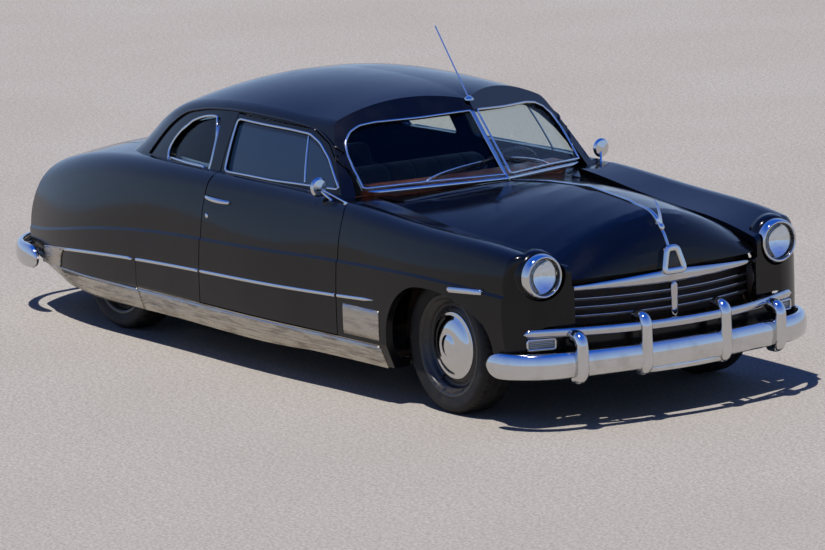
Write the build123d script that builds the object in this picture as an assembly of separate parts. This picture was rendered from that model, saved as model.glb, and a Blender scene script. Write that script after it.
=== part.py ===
"""A chopped and lowered two-door coupe of about 1949, with a step-down body, as separate panels and pieces.

Units are millimetres. +X points to the nose, +Y to the left side, +Z up. The origin is on the ground, at the
middle of the overall length and width. A body section at one X is a closed outline in the YZ plane, and a body is
a loft through such sections. The outer body less the same body drawn one wall thinner is a hollow shell, which the
panel outlines then cut into the fenders, doors, quarters, hood and deck lid. A right-hand piece is drawn at
negative Y and mirrored for the left.
"""
import math
import os

from build123d import *

# Running gear
FRONT_AXLE_X = 1750.0
WHEELBASE = 3150.0
REAR_AXLE_X = FRONT_AXLE_X - WHEELBASE
FRONT_WHEEL_Y = 735.0
REAR_WHEEL_Y = 705.0
TYRE_R = 341.0
TYRE_WIDTH = 200.0
RIM_R = 262.0
RIM_SEAT_R = 238.0
RIM_WIDTH = 176.0
CAP_R = 171.0
HUB_BORE_R = 30.0
SPINDLE_R = 29.95
KINGPIN_Y = 585.0
KINGPIN_R = 14.0
KINGPIN_CLEARANCE = 0.05
TAILPIPE_R = 21.0

# Walls and gaps
WALL = 40.0
DOOR_WALL = 95.0
HOOD_WALL = 22.0
GAP = 7.0
GLASS_INSET = 16.0
GLASS_THICKNESS = 5.0

# Panel lines
DOOR_FRONT_X = 985.0
DOOR_REAR_X = -290.0
SILL_TOP_Z = 308.0
BELT_Z = 968.0
ROCKER_FRONT_X = 1353.0
ROCKER_REAR_X = -2181.0
SKIRT_FRONT_X = -945.0
SKIRT_REAR_X = -1806.0
SKIRT_TOP_Z = (455.0, 400.0)
STEERING_HUB = (560, 370, 900)
STEERING_TOE = (1080, 370, 560)
HOOD_HINGE_X = 2544.0
HOOD_HINGE_Z = 722.0
HEADLAMP = (2411.0, 720.0, 762.0)
BEZEL_R = 122.0
LENS_R = 92.0

# Lower body stations: x, bottom z, bottom half width, rocker half width and z, crease half width and z,
# shoulder half width and z, shoulder radius, z of the top at two thirds of the shoulder, z on the centre line
TUB = [
    (2620, 300, 790, 850, 400, 858, 640, 822, 872, 80, 770, 745),
    (2400, 290, 815, 880, 395, 888, 655, 838, 902, 85, 800, 770),
    (2150, 250, 860, 915, 380, 920, 674, 856, 925, 90, 835, 800),
    (1750, 205, 905, 950, 340, 952, 692, 872, 942, 95, 862, 830),
    (1300, 192, 912, 966, 312, 962, 690, 880, 965, 100, 908, 880),
    (850, 190, 915, 972, 310, 966, 680, 882, 985, 105, 962, 960),
    (-300, 176, 920, 975, 310, 966, 640, 880, 985, 110, 994, 1004),
    (-1300, 176, 895, 952, 305, 942, 573, 845, 955, 140, 978, 992),
    (-1900, 190, 800, 890, 290, 888, 490, 772, 872, 160, 910, 936),
    (-2300, 250, 680, 790, 330, 798, 445, 700, 770, 160, 808, 838),
    (-2640, 330, 560, 680, 400, 690, 455, 600, 640, 150, 690, 715),
]
CREASE_STEP = 10.0
CREASE_RISE = 14.0

# Greenhouse stations: x, base half width, roof rail half width and z, rail radius, crown z
HOUSE_BASE_Z = 900.0
HOUSE = [
    (1250, 790, 560, 1150, 60, 1240),
    (850, 808, 612, 1262, 80, 1374),
    (400, 838, 660, 1306, 95, 1452),
    (0, 850, 672, 1314, 100, 1462),
    (-400, 845, 666, 1310, 105, 1442),
    (-750, 825, 646, 1280, 110, 1386),
    (-1000, 800, 620, 1232, 110, 1310),
    (-1250, 770, 585, 1112, 90, 1194),
    (-1450, 735, 545, 985, 40, 1066),
    (-1550, 705, 515, 925, 12, 974),
]

# Hood stations: x, half width, edge z, bulge of each side over its chord, ridge z
HOOD = [
    (700, 670, 958, 12, 990),
    (1250, 656, 888, 28, 1014),
    (1800, 640, 828, 42, 1046),
    (2200, 622, 780, 46, 1014),
    (2620, 600, 700, 46, 950),
]
HOOD_NOSE_X = 2511.0
HOOD_NOSE_RADIUS = 3049.0
HOOD_ROLL_LENGTH = 215.0
HOOD_ROLL_FOOT_Z = 712.0

# Front outline in plan, from the centre line out: nose middle, bow point, then the headlamp corner
NOSE_MIDDLE_X = 2530.0
NOSE_BOW = (2512.0, 300.0)
NOSE_EDGE = (2462.0, 560.0)
LAMP_FRONT = (2424.0, 740.0)
LAMP_CORNER = (2372.0, 850.0)
FENDER_RUN = (2180.0, 925.0)

# Windshield: each pane's plane passes through the centre foot and head and the outer foot
GLASS_FOOT = Vector(1149, 0, 1030)
GLASS_HEAD = Vector(847, 0, 1345)
GLASS_CORNER = Vector(830, -664, 996)
# Each pane's opening in its own plane: distance up the pane, distance out from the centre line
PANE_OPENING = [
    (-300, -5), (424, -5), (489, 270), (552, 505), (563, 590), (545, 650), (500, 695), (430, 716), (330, 724),
    (215, 724), (-300, 724),
]

# The floor between the rockers, seen from above
FLOOR_PLAN = [
    (1300, -846), (-300, -846), (-1300, -830), (-1900, -730), (-2300, -600), (-2300, 600), (-1900, 730),
    (-1300, 830), (-300, 846), (1300, 846),
]

# Side outlines in the XZ plane
DOOR_WINDOW = [(752, 1004), (700, 1050), (600, 1142), (490, 1206), (385, 1238), (-276, 1250), (-248, 992)]
QUARTER_WINDOW = [(-400, 992), (-446, 1240), (-600, 1230), (-760, 1180), (-850, 1100), (-884, 1034), (-862, 996)]

os.makedirs("parts", exist_ok=True)


def mirror_y(shape):
    """The same piece on the car's other side."""
    return mirror(shape, about=Plane.XZ)


def pair(shape):
    """A right-hand piece and its left-hand twin, as one node's solids."""
    return Compound(children=[*shape.solids(), *mirror_y(shape).solids()])


def group(*shapes):
    """Pieces that don't touch, as one node's solids."""
    return Compound(children=[solid for shape in shapes for solid in shape.solids()])


def biggest(shape, count=1):
    """The largest solids of a cut, without the slivers beside them."""
    found = sorted(shape.solids(), key=lambda solid: -solid.volume)[:count]
    return found[0] if count == 1 else Compound(children=found)


def block(x0, x1, y0, y1, z0, z1):
    """A box between two corners."""
    return Pos((x0 + x1) / 2, (y0 + y1) / 2, (z0 + z1) / 2) * Box(x1 - x0, y1 - y0, z1 - z0)


def side_prism(points, y0, y1, radius=0.0):
    """An outline in the XZ plane, carried along Y from y0 to y1."""
    face = make_face(Polyline(*[(x, 0, z) for x, z in points], close=True))
    if radius:
        face = fillet(face.vertices(), radius)
    return extrude(Pos(0, y0, 0) * face, amount=y1 - y0, dir=(0, 1, 0))


def plan_prism(points, z0, z1, radius=0.0):
    """An outline in the XY plane, carried up from z0 to z1."""
    face = make_face(Polyline(*[(x, y, 0) for x, y in points], close=True))
    if radius:
        face = fillet(face.vertices(), radius)
    return extrude(Pos(0, 0, z0) * face, amount=z1 - z0, dir=(0, 0, 1))


def front_prism(points, x0, x1, radius=0.0):
    """An outline in the YZ plane, carried along X from x0 to x1."""
    face = make_face(Polyline(*[(0, y, z) for y, z in points], close=True))
    if radius:
        face = fillet(face.vertices(), radius)
    return extrude(Pos(x0, 0, 0) * face, amount=x1 - x0, dir=(1, 0, 0))


def rod(start, end, radius):
    """A round bar between two points."""
    start, end = Vector(*start), Vector(*end)
    along = end - start
    return extrude(Plane(origin=start, z_dir=along) * Circle(radius), amount=along.length)


def turned(outline, axis_point, axis_dir=(0, 1, 0)):
    """A ring or disc from an outline of (distance along the axis, radius) points, turned about the axis."""
    side = Vector(0, 0, 1) if abs(axis_dir[2]) < 0.5 else Vector(0, 1, 0)
    plane = Plane(origin=axis_point, x_dir=axis_dir, z_dir=Vector(*axis_dir).cross(side))
    face = plane * make_face(Polyline(*outline, close=True))
    return revolve(face, axis=Axis(axis_point, axis_dir))


def section_face(half, corner=None, radius=0.0):
    """A closed section from the edges of its +Y half, with one corner rounded on both sides."""
    face = make_face([*half, *[mirror(edge, about=Plane.YZ) for edge in half]])
    if corner:
        near = [v for v in face.vertices() if abs(abs(v.X) - corner[0]) < 0.1 and abs(v.Y - corner[1]) < 0.1]
        face = fillet(near, radius)
    return face


def at_station(x, face):
    """A section drawn flat, stood up across the car at one X."""
    return Plane(origin=(x, 0, 0), x_dir=(0, 1, 0), z_dir=(1, 0, 0)) * face


def tub_section(row, inset):
    """One closed lower body outline, inset by a wall thickness."""
    x, zb, yb, yr, zr, yc, zc, ys, zs, radius, zm, zt = row
    zb, yb, yr, yc, ys = zb + inset, yb - inset, yr - inset, yc - inset, ys - inset
    zs, zm, zt, radius = zs - inset, zm - inset, zt - inset, max(radius - inset, 15)
    upper = (yc - CREASE_STEP, zc + CREASE_RISE)
    bulge = (upper[0] * 0.5 + ys * 0.5 + 16, (upper[1] + zs) / 2)
    half = [
        Line((0, zb), (yb, zb)),
        Line((yb, zb), (yr, zr)),
        ThreePointArc((yr, zr), ((yr + yc) / 2 + 5, (zr + zc) / 2), (yc, zc)),
        Line((yc, zc), upper),
        ThreePointArc(upper, bulge, (ys, zs)),
        ThreePointArc((ys, zs), (ys * 0.66, zm), (0, zt)),
    ]
    return at_station(x, section_face(half, (ys, zs), radius))


def house_section(row, inset, drop=0.0):
    """One closed greenhouse outline: leaning sides, a rounded roof rail and a crowned roof."""
    x, yb, yd, zd, radius, zc = row
    base = HOUSE_BASE_Z - drop
    yb, yd, zc = yb - inset, yd - inset * 0.8, max(zc - inset, base + 16)
    zd = max(min(zd - inset * 0.6, zc - 8), base + 8)
    half = [
        Line((0, base), (yb, base)),
        ThreePointArc((yb, base), ((yb + yd) / 2 + 14, (base + zd) / 2), (yd, zd)),
        ThreePointArc((yd, zd), (yd * 0.52, zd * 0.22 + zc * 0.78), (0, zc)),
    ]
    return at_station(x, section_face(half, (yd, zd), max(radius - inset * 0.3, 5)))


def nose_plan(inset, z0, z1):
    """The body's front outline seen from above, as a prism that trims the front end."""
    run, corner, front, edge, bow = FENDER_RUN, LAMP_CORNER, LAMP_FRONT, NOSE_EDGE, NOSE_BOW
    side_y = run[1] + 60
    half = [
        ThreePointArc((NOSE_MIDDLE_X - inset, 0), (bow[0] - inset, bow[1]), (edge[0] - inset, edge[1])),
        Line((edge[0] - inset, edge[1]), (front[0] - inset, front[1])),
        ThreePointArc((front[0] - inset, front[1]), (corner[0] - inset, corner[1] - inset),
                      (run[0] - inset, side_y)),
        Line((run[0] - inset, side_y), (-3000, side_y)),
        Line((-3000, side_y), (-3000, 0)),
    ]
    face = make_face([*half, *[mirror(edge, about=Plane.XZ) for edge in half]])
    return extrude(Pos(0, 0, z0) * face, amount=z1 - z0, dir=(0, 0, 1))


def tail_end(inset, z0=0.0, z1=1500.0):
    """The body's rear end: a round bow in plan with a convex fall to the bumper, turned about an upright line."""
    centre_x = -1285.0
    down = inset * 0.4
    profile = [(1268, 330), (1290, 560), (1040, 842), (600, 990)]
    low, waist, brow, top = [(reach - inset, z - down) for reach, z in profile]
    edges = [
        Line((0, z0), (low[0], z0)),
        Line((low[0], z0), low),
        ThreePointArc(low, (1296 - inset, 440 - down), waist),
        ThreePointArc(waist, (1214 - inset, 722 - down), brow),
        ThreePointArc(brow, (840 - inset, 930 - down), top),
        Line(top, (top[0], z1)),
        Line((top[0], z1), (0, z1)),
        Line((0, z1), (0, z0)),
    ]
    face = Plane(origin=(centre_x, 0, 0), x_dir=(1, 0, 0), z_dir=(0, -1, 0)) * make_face(edges)
    bow = revolve(face, axis=Axis((centre_x, 0, 0), (0, 0, 1)))
    return bow + block(-1700, 3000, -1100, 1100, z0, z1)


def windshield_plane(side, offset=0.0):
    """The plane of one pane, moved outwards by an offset. side is -1 on the right and 1 on the left."""
    corner = Vector(GLASS_CORNER.X, -side * GLASS_CORNER.Y, GLASS_CORNER.Z)
    up = (GLASS_HEAD - GLASS_FOOT).normalized()
    out = up.cross(corner - GLASS_FOOT).normalized()
    out = out if out.X > 0 else -out
    return Plane(origin=GLASS_FOOT + out * offset, x_dir=up, z_dir=out)


def pane_slab(side, offset, depth):
    """A flat slab on one pane's plane, on that pane's side of the car."""
    slab = extrude(windshield_plane(side, offset) * Rectangle(4200, 4200), amount=depth)
    return slab & block(-500, 4000, min(0, side * 2000), max(0, side * 2000), 0, 3000)


def behind_slant(first, second, towards, depth):
    """Everything behind a slanted plane through two points and along a direction, for a door's rear edge."""
    first, second, towards = Vector(*first), Vector(*second), Vector(*towards).normalized()
    normal = (second - first).normalized().cross(towards).normalized()
    normal = normal if normal.X < 0 else -normal
    return extrude(Plane(origin=first, z_dir=normal) * Rectangle(3000, 3000), amount=depth)


def door_prism(grow):
    """The door's outline in side view, grown by a gap, at the right side."""
    front, rear, sill = DOOR_FRONT_X + grow, DOOR_REAR_X - grow, SILL_TOP_Z + GAP - grow
    points = [
        (front, sill), (front, 915), (front - 30, 960 + grow * 0.5), (835 + grow, 985 + grow * 0.5),
        (705 + grow * 0.7, 1100 + grow * 0.7), (565 + grow * 0.6, 1208 + grow * 0.8), (405 + grow * 0.3, 1264 + grow),
        (rear, 1274 + grow), (rear, sill),
    ]
    return side_prism(points, -1100, -420) - block(806, 1100, grow - 775, 0, 0, 962)


def skirt_prism(grow):
    """The rear fender skirt's outline, whose top edge hides under the side spear."""
    front, rear = SKIRT_FRONT_X + grow, SKIRT_REAR_X - grow
    return side_prism([(rear, 100), (front, 100), (front, SKIRT_TOP_Z[0] + grow), (rear, SKIRT_TOP_Z[1] + grow)],
                      -1100, -420)


def wheel_arch():
    """The front wheel opening in side view: a high round rear part and a long falling front part."""
    edges = [
        Line((1405, 100), (1416, 344)),
        ThreePointArc((1416, 344), (1506, 566), (1712, 646)),
        ThreePointArc((1712, 646), (1985, 614), (2190, 520)),
        ThreePointArc((2190, 520), (2238, 450), (2254, 370)),
        Line((2254, 370), (2262, 100)),
        Line((2262, 100), (1405, 100)),
    ]
    face = Plane(origin=(0, -600, 0), x_dir=(1, 0, 0), z_dir=(0, -1, 0)) * make_face(edges)
    return extrude(face, amount=600, dir=(0, -1, 0))


def hood_plan(grow, z0, z1):
    """The hood's outline from above: a rear edge that follows the windshield and sides that close to the nose."""
    points = [
        (1160 - grow, 0), (1092 - 0.92 * grow, 430 - 0.4 * grow), (1010 - 0.72 * grow, 556 - 0.74 * grow),
        (882 - 3.64 * grow, 632 + grow), (1500, 622 + grow),
        (2000, 600 + grow), (2520, 556 + grow), (2800, 540 + grow), (2800, 0),
    ]
    half = plan_prism(points, z0, z1)
    return half + mirror_y(half)


def lid_plan(grow, z0, z1):
    """The deck lid's outline from above."""
    points = [
        (-1566 + grow, 0), (-1572 + grow, 420), (-1640 + grow, 490 + grow), (-2050, 440 + grow),
        (-2800, 440 + grow), (-2800, 0),
    ]
    half = plan_prism(points, z0, z1)
    return half + mirror_y(half)


def make_shell():
    """The outer body as lower and upper solids, and the cavities inside them."""
    lower = loft([tub_section(row, 0) for row in TUB]) & nose_plan(0, 0, 1500)
    rims = [e for e in lower.edges() if e.center().X > 2330 and e.center().Z > 760 and abs(e.center().Y) > 300]
    try:
        lower = fillet(rims, 38)
    except Exception:
        print("the fender's front edge is left sharp")
    lower = lower & tail_end(0)
    upper = loft([house_section(row, 0) for row in HOUSE])
    lower_void = loft([tub_section(row, WALL) for row in TUB]) & nose_plan(WALL, 0, 1500) & tail_end(WALL)
    upper_void = loft([house_section(row, WALL, drop=60) for row in HOUSE])
    return lower, upper, lower_void, upper_void


def make_glass_layer():
    """A thin skin just inside the greenhouse, which the window outlines cut into panes."""
    outer = loft([house_section(row, GLASS_INSET, drop=20) for row in HOUSE])
    inner = loft([house_section(row, GLASS_INSET + GLASS_THICKNESS, drop=30) for row in HOUSE])
    return outer - inner


def arc_band(middle_x, tip_x, tip_y, depth, z0, z1):
    """A bar that bows forward in plan: its front passes the middle and the two tips."""
    sagitta = middle_x - tip_x
    radius = (tip_y ** 2 + sagitta ** 2) / (2 * sagitta)
    ring = Pos(middle_x - radius, 0, 0) * (Circle(radius) - Circle(radius - depth))
    band = extrude(Pos(0, 0, z0) * ring, amount=z1 - z0)
    return band & block(tip_x - depth - 40, middle_x + 10, -tip_y, tip_y, z0 - 1, z1 + 1)


def bumper(middle_x, corner, end, height, thickness, z):
    """A wrap-round bumper bar: a bowed face section carried along an arc and round the two corners."""
    face_arc = ThreePointArc((corner[0], -corner[1]), (middle_x, 0), corner)
    wrap = TangentArc(corner, end, tangent=face_arc % 1)
    other = TangentArc((corner[0], -corner[1]), (end[0], -end[1]), tangent=-(face_arc % 0))
    path = Wire([*other.edges(), *face_arc.edges(), *wrap.edges()])
    face = make_face([
        ThreePointArc((-height / 2, 0), (0, -thickness), (height / 2, 0)),
        Line((height / 2, 0), (height / 2, 8)),
        ThreePointArc((height / 2, 8), (0, 12 - thickness), (-height / 2, 8)),
        Line((-height / 2, 8), (-height / 2, 0)),
    ])
    path = Pos(0, 0, z) * path
    section = Plane(origin=path @ 0, x_dir=(0, 0, 1), z_dir=path % 0) * face
    return sweep(section, path=path)


def lower_grille_bar():
    """The grille's lowest and longest bar, which runs out to the fenders."""
    low = arc_band(2628, 2405, 770, 44, 455, 512)
    return fillet([e for e in low.edges() if e.length > 900 and e.center().X > 2455], 16)


def parking_lamp():
    """The oblong lamp under the lower bar's right end."""
    return Pos(2424, -742, 430) * Rot(0, 0, 42) * Box(34, 150, 32)


def guard(x_front, y, z0, z1, depth, width):
    """A round-topped bumper guard: a tall bar whose face bows forward and whose top rolls back."""
    face = make_face([
        Line((x_front - depth, z0), (x_front - 6, z0)),
        ThreePointArc((x_front - 6, z0), (x_front, (z0 + z1) / 2), (x_front - 16, z1 - 30)),
        ThreePointArc((x_front - 16, z1 - 30), (x_front - 27, z1 - 7), (x_front - 46, z1)),
        Line((x_front - 46, z1), (x_front - depth, z1 - 24)),
        Line((x_front - depth, z1 - 24), (x_front - depth, z0)),
    ])
    upright = Plane(origin=(0, y + width / 2, 0), x_dir=(1, 0, 0), z_dir=(0, -1, 0)) * face
    piece = extrude(upright, amount=width, dir=(0, -1, 0))
    edges = [e for e in piece.edges() if e.center().X > x_front - 40 and abs(abs(e.center().Y - y) - width / 2) < 1]
    try:
        piece = fillet(edges, 9)
    except Exception:
        print("a guard's edges are left sharp")
    return piece


def tyre_at(x, y):
    """A tyre: a round-shouldered ring with its bead inside the rim flanges."""
    half = TYRE_WIDTH / 2
    outline = [
        (-RIM_WIDTH / 2 + 12, RIM_SEAT_R), (-half + 8, RIM_R + 8), (-half, (RIM_R + TYRE_R) / 2),
        (-half + 10, TYRE_R - 18), (-half + 26, TYRE_R - 3), (0, TYRE_R),
        (half - 26, TYRE_R - 3), (half - 10, TYRE_R - 18), (half, (RIM_R + TYRE_R) / 2),
        (half - 8, RIM_R + 8), (RIM_WIDTH / 2 - 12, RIM_SEAT_R),
    ]
    return turned(outline, (x, y, TYRE_R))


def wheel_at(x, y, side):
    """A deep steel wheel with its stepped cap, outer face towards side, and a bored hub."""
    half = RIM_WIDTH / 2
    rim = [
        (-half + 2, RIM_SEAT_R), (-half + 2, RIM_SEAT_R - 10), (-34, 206), (36, 206), (half - 2, RIM_SEAT_R - 10),
        (half - 2, RIM_SEAT_R),
    ]
    disc = [
        (30, 214), (34, 190), (22, CAP_R + 4), (22, 66), (-50, 62), (-50, HUB_BORE_R), (40, HUB_BORE_R), (40, 60),
        (40, 192), (44, 214),
    ]
    cap = [
        (46, 0), (40, 20), (40, CAP_R - 8), (48, CAP_R), (58, CAP_R - 6), (62, CAP_R - 34), (72, CAP_R - 44), (78, 96),
        (72, 84), (74, 52), (82, 30), (84, 0),
    ]
    wheel = turned([(side * a, r) for a, r in rim], (x, y, TYRE_R))
    wheel += turned([(side * a, r) for a, r in disc], (x, y, TYRE_R))
    return wheel + turned([(side * a, r) for a, r in cap], (x, y, TYRE_R))


def make_body_panels(parts):
    """Cuts the shell into roof, cowl, fenders, quarters, doors, lid and front panel."""
    lower, upper, lower_void, upper_void = make_shell()
    ahead = pane_slab(-1, 0, 1800) + pane_slab(1, 0, 1800)
    door_void = loft([tub_section(row, DOOR_WALL) for row in TUB[3:9]])
    glass_layer = make_glass_layer()

    windows = side_prism(DOOR_WINDOW, -1100, -420, 22)
    windows += side_prism(QUARTER_WINDOW, -1100, -420, 24)
    both_windows = windows + mirror_y(windows)
    back_light = front_prism([(-430, 1075), (-470, 1235), (470, 1235), (430, 1075)], -1700, -1040, 40)

    # The greenhouse: roof, pillars and rear surround in one pressing
    gap_prism = door_prism(GAP)
    both_doors = gap_prism + mirror_y(gap_prism)
    opening_face = windshield_plane(-1, -60) * make_face(Polyline(*PANE_OPENING, close=True))
    pane_hole = extrude(opening_face, amount=120)
    header = (pane_slab(-1, -26, 26) & upper) - lower
    house_shell = (upper - upper_void - lower - ahead) + header + mirror_y(header)
    house_shell -= pane_hole + mirror_y(pane_hole)
    parts["roof"] = biggest(house_shell - both_windows - back_light - both_doors)

    # The lower shell and what the panels take from it
    opening = hood_plan(GAP, 700, 1300)
    lid_opening = lid_plan(GAP, 575, 1300)
    floor_prism = plan_prism(FLOOR_PLAN, 100, SILL_TOP_Z)
    open_top = (upper_void & block(-1440, 1400, -900, 900, 800, 1500)) - pane_slab(-1, -40, 1800)
    open_top -= pane_slab(1, -40, 1800)
    skin = lower - lower_void - open_top - both_doors

    rocker_zone = block(ROCKER_REAR_X, ROCKER_FRONT_X, -1100, -420, 100, SILL_TOP_Z)
    rocker_breaks = block(SKIRT_REAR_X - 4, SKIRT_REAR_X, -1100, 0, 100, 600)
    rocker_breaks += block(SKIRT_FRONT_X, SKIRT_FRONT_X + 4, -1100, 0, 100, 600)
    skirt_zone = skirt_prism(0)
    sill = (skin & rocker_zone) - floor_prism - skirt_zone - rocker_breaks
    parts["rocker_panels"] = pair(biggest(sill, 2))
    tyre_room = block(REAR_AXLE_X - 400, REAR_AXLE_X + 400, -REAR_WHEEL_Y - TYRE_WIDTH / 2 - 12, 0, 0, 800)
    skirt = (skin & skirt_zone) - floor_prism - tyre_room
    parts["fender_skirts"] = pair(biggest(skirt))

    above = skin - rocker_zone - mirror_y(rocker_zone) - floor_prism
    skirt_gap = skirt_prism(4)
    rear_zone = block(-3000, DOOR_REAR_X - GAP, -1100, -386, 0, 1300)
    quarter = (above & rear_zone) - lid_opening - skirt_gap
    rear_slots = block(-2700, -2280, -425, -355, 260, 322) + block(-2700, -2280, 355, 425, 260, 322)
    quarter -= block(-2300, 0, -640, 0, 0, 420) + rear_slots
    parts["quarter_panels"] = pair(biggest(quarter))
    deck = (above & block(-2000, DOOR_REAR_X - GAP, -386, 386, 700, 1300)) - lid_opening
    parts["deck_panel"] = biggest(deck)
    parts["roof"] = biggest(parts["roof"] - parts["deck_panel"])
    tail = (above & block(-3000, -2100, -386, 386, 0, 575)) - block(-2300, 0, -640, 640, 0, 460)
    parts["tail_panel"] = biggest(tail - rear_slots)

    fender_zone = block(DOOR_FRONT_X + GAP, 3000, -1100, -556, 0, 1300)
    fender = (above & fender_zone) - opening - wheel_arch()
    fender -= block(1100, 2270, -820, 0, 0, 500)
    lamp_hole = extrude(Plane(origin=(2330, -HEADLAMP[1], HEADLAMP[2]), z_dir=(1, 0, 0)) * Circle(BEZEL_R), 200)
    fender -= lamp_hole + lower_grille_bar() + parking_lamp()
    parts["front_fenders"] = pair(biggest(fender))

    front = (above & block(2150, 3000, -556, 556, 0, 478)) - block(0, 2420, -540, 540, 0, 800)
    front -= lower_grille_bar() + block(2200, 2700, -414, -366, 288, 332) + block(2200, 2700, 366, 414, 288, 332)
    parts["front_panel"] = biggest(front)

    dome, dome_void = hood_dome(0), hood_dome(HOOD_WALL)
    cowl_zone = block(300, DOOR_FRONT_X + GAP, -1100, 1100, 400, 1300)
    cowl_zone += block(DOOR_FRONT_X + GAP, 1180, -556, 556, 800, 1300)
    cowl = (skin & cowl_zone) - opening - dome_void
    ledge = ((dome - dome_void) & cowl_zone & block(700, 1300, -650, 0, 800, 1100)) - opening - both_doors - open_top
    half = (cowl & block(0, 1300, -1100, 0, 300, 1400)) + ledge
    half -= hood_plan(GAP, 700, 1300)
    parts["cowl"] = biggest(half + mirror_y(half))

    # Doors with whole walls, a window frame and a slanted rear edge that clears the pillar as it swings
    door = (lower + upper) & door_prism(0)
    door -= door_void + upper_void + (ahead & block(0, 3000, -1100, 1100, 962, 3000))
    door -= side_prism(DOOR_WINDOW, -1100, -420, 22)
    low_cut = behind_slant((DOOR_REAR_X, -975, 312), (DOOR_REAR_X, -925, 900), (0.13, 1, 0), 500)
    high_cut = behind_slant((DOOR_REAR_X, -838, 980), (DOOR_REAR_X, -650, 1262), (0.32, 1, 0), 500)
    door -= low_cut & block(-900, -200, -1100, -400, 200, BELT_Z)
    door -= high_cut & block(-900, -200, -1100, -400, BELT_Z, 1400)
    door = biggest(door)
    parts["door_right"] = door
    parts["door_left"] = mirror_y(door)

    # Glass
    pane = biggest(glass_layer & side_prism(DOOR_WINDOW, -1100, -420, 22))
    parts["door_glass_right"] = pane
    parts["door_glass_left"] = mirror_y(pane)
    parts["quarter_glass"] = pair(biggest(glass_layer & side_prism(QUARTER_WINDOW, -1100, -420, 24)))
    parts["rear_window"] = biggest(glass_layer & back_light)
    under_foot = front_prism([(0, 1027), (-664, 993), (-900, 981), (-900, 0), (0, 0)], 0, 2000)
    right_pane = (pane_slab(-1, -16, 6) & pane_hole & upper) - lower - block(0, 2000, -9, 0, 0, 2000) - under_foot
    right_pane = biggest(right_pane - parts["cowl"])
    parts["windshield"] = group(right_pane, mirror_y(right_pane))
    post = rod((GLASS_FOOT.X - 14, 0, GLASS_FOOT.Z - 14), (GLASS_HEAD.X - 14, 0, GLASS_HEAD.Z - 6), 8.5)
    foot = rod((1143, 0, 1014), (828, -668, 980), 11)
    frame = ((post & upper_void) + foot + mirror_y(foot)) - lower - dome - parts["roof"]
    frame -= parts["cowl"] + (both_doors & block(600, 1000, -1100, 1100, 900, 1100))
    parts["windshield_frame"] = biggest(frame - right_pane - mirror_y(right_pane))
    parts["trunk_lid"] = biggest((lower - lower_void) & lid_plan(0, 582, 1300))
    return lower, upper, lower_void, dome, dome_void


def through_stations(x, column):
    """One column of the hood table at any x: the polynomial through all its stations."""
    total = 0.0
    for row in HOOD:
        term = row[column]
        for other in HOOD:
            if other is not row:
                term *= (x - other[0]) / (row[0] - other[0])
        total += term
    return total


def hood_point(x, across, inset, roll=90.0):
    """A point of the hood's right half. across runs from the ridge to the edge, and roll from 90 degrees on the
    top to 0 at the nose, where the surface has turned down a quarter ellipse to the vertical."""
    width, edge = through_stations(x, 1) - inset, through_stations(x, 2) - inset
    bulge, ridge = through_stations(x, 3), through_stations(x, 4) - inset
    z = edge + (ridge - edge) * (1 - across) + bulge * 4 * across * (1 - across)
    z = HOOD_ROLL_FOOT_Z + (z - HOOD_ROLL_FOOT_Z) * math.sin(math.radians(roll))
    return Vector(x, -across * width, z)


def hood_dome(inset):
    """The hood's dome as a solid, one wall thinner when inset. The cowl continues it behind the hood. Each half is
    one surface through a grid of points, carried straight down."""
    grid = []
    for step in range(10):
        across = step / 9
        y = across * (through_stations(2450, 1) - inset)
        radius = HOOD_NOSE_RADIUS - inset
        front = HOOD_NOSE_X - HOOD_NOSE_RADIUS + math.sqrt(radius ** 2 - y ** 2)
        start = front - HOOD_ROLL_LENGTH
        line = [hood_point(700 + (start - 700) * k / 10, across, inset) for k in range(10)]
        for roll in (90, 78, 66, 54, 42, 30, 18, 8, 0):
            x = start + HOOD_ROLL_LENGTH * math.cos(math.radians(roll))
            line.append(hood_point(x, across, inset, roll))
        grid.append(line)
    top = Face.make_surface_from_array_of_points(grid, tol=0.2)
    half = extrude(top, amount=400 + inset, dir=(0, 0, -1))
    return half + mirror_y(half)


def make_hood(parts, dome, void):
    """The front-hinged hood with its spine and ornament."""
    hood = (dome - void) & hood_plan(0, HOOD_HINGE_Z + 7, 1300)
    spine = [
        (1180, 980), (1180, 1012), (1500, 1042), (1850, 1056), (2181, 1022), (2420, 956), (2380, 930), (1850, 1010),
        (1500, 1000),
    ]
    spine = side_prism(spine, -5, 5)
    parts["hood"] = biggest(hood + (spine - void))
    fin = [(2436, 944), (2380, 958), (2300, 984), (2330, 1000), (2380, 1052), (2392, 1040), (2404, 1000)]
    fin = side_prism(fin, -8, 8)
    badge = front_prism([(-46, 800), (0, 822), (46, 800), (8, 732), (-8, 732)], 2470, HOOD_HINGE_X - 8, 5)
    solid = dome + spine
    parts["hood_ornament"] = group(biggest(fin - solid), biggest(badge - solid))


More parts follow.
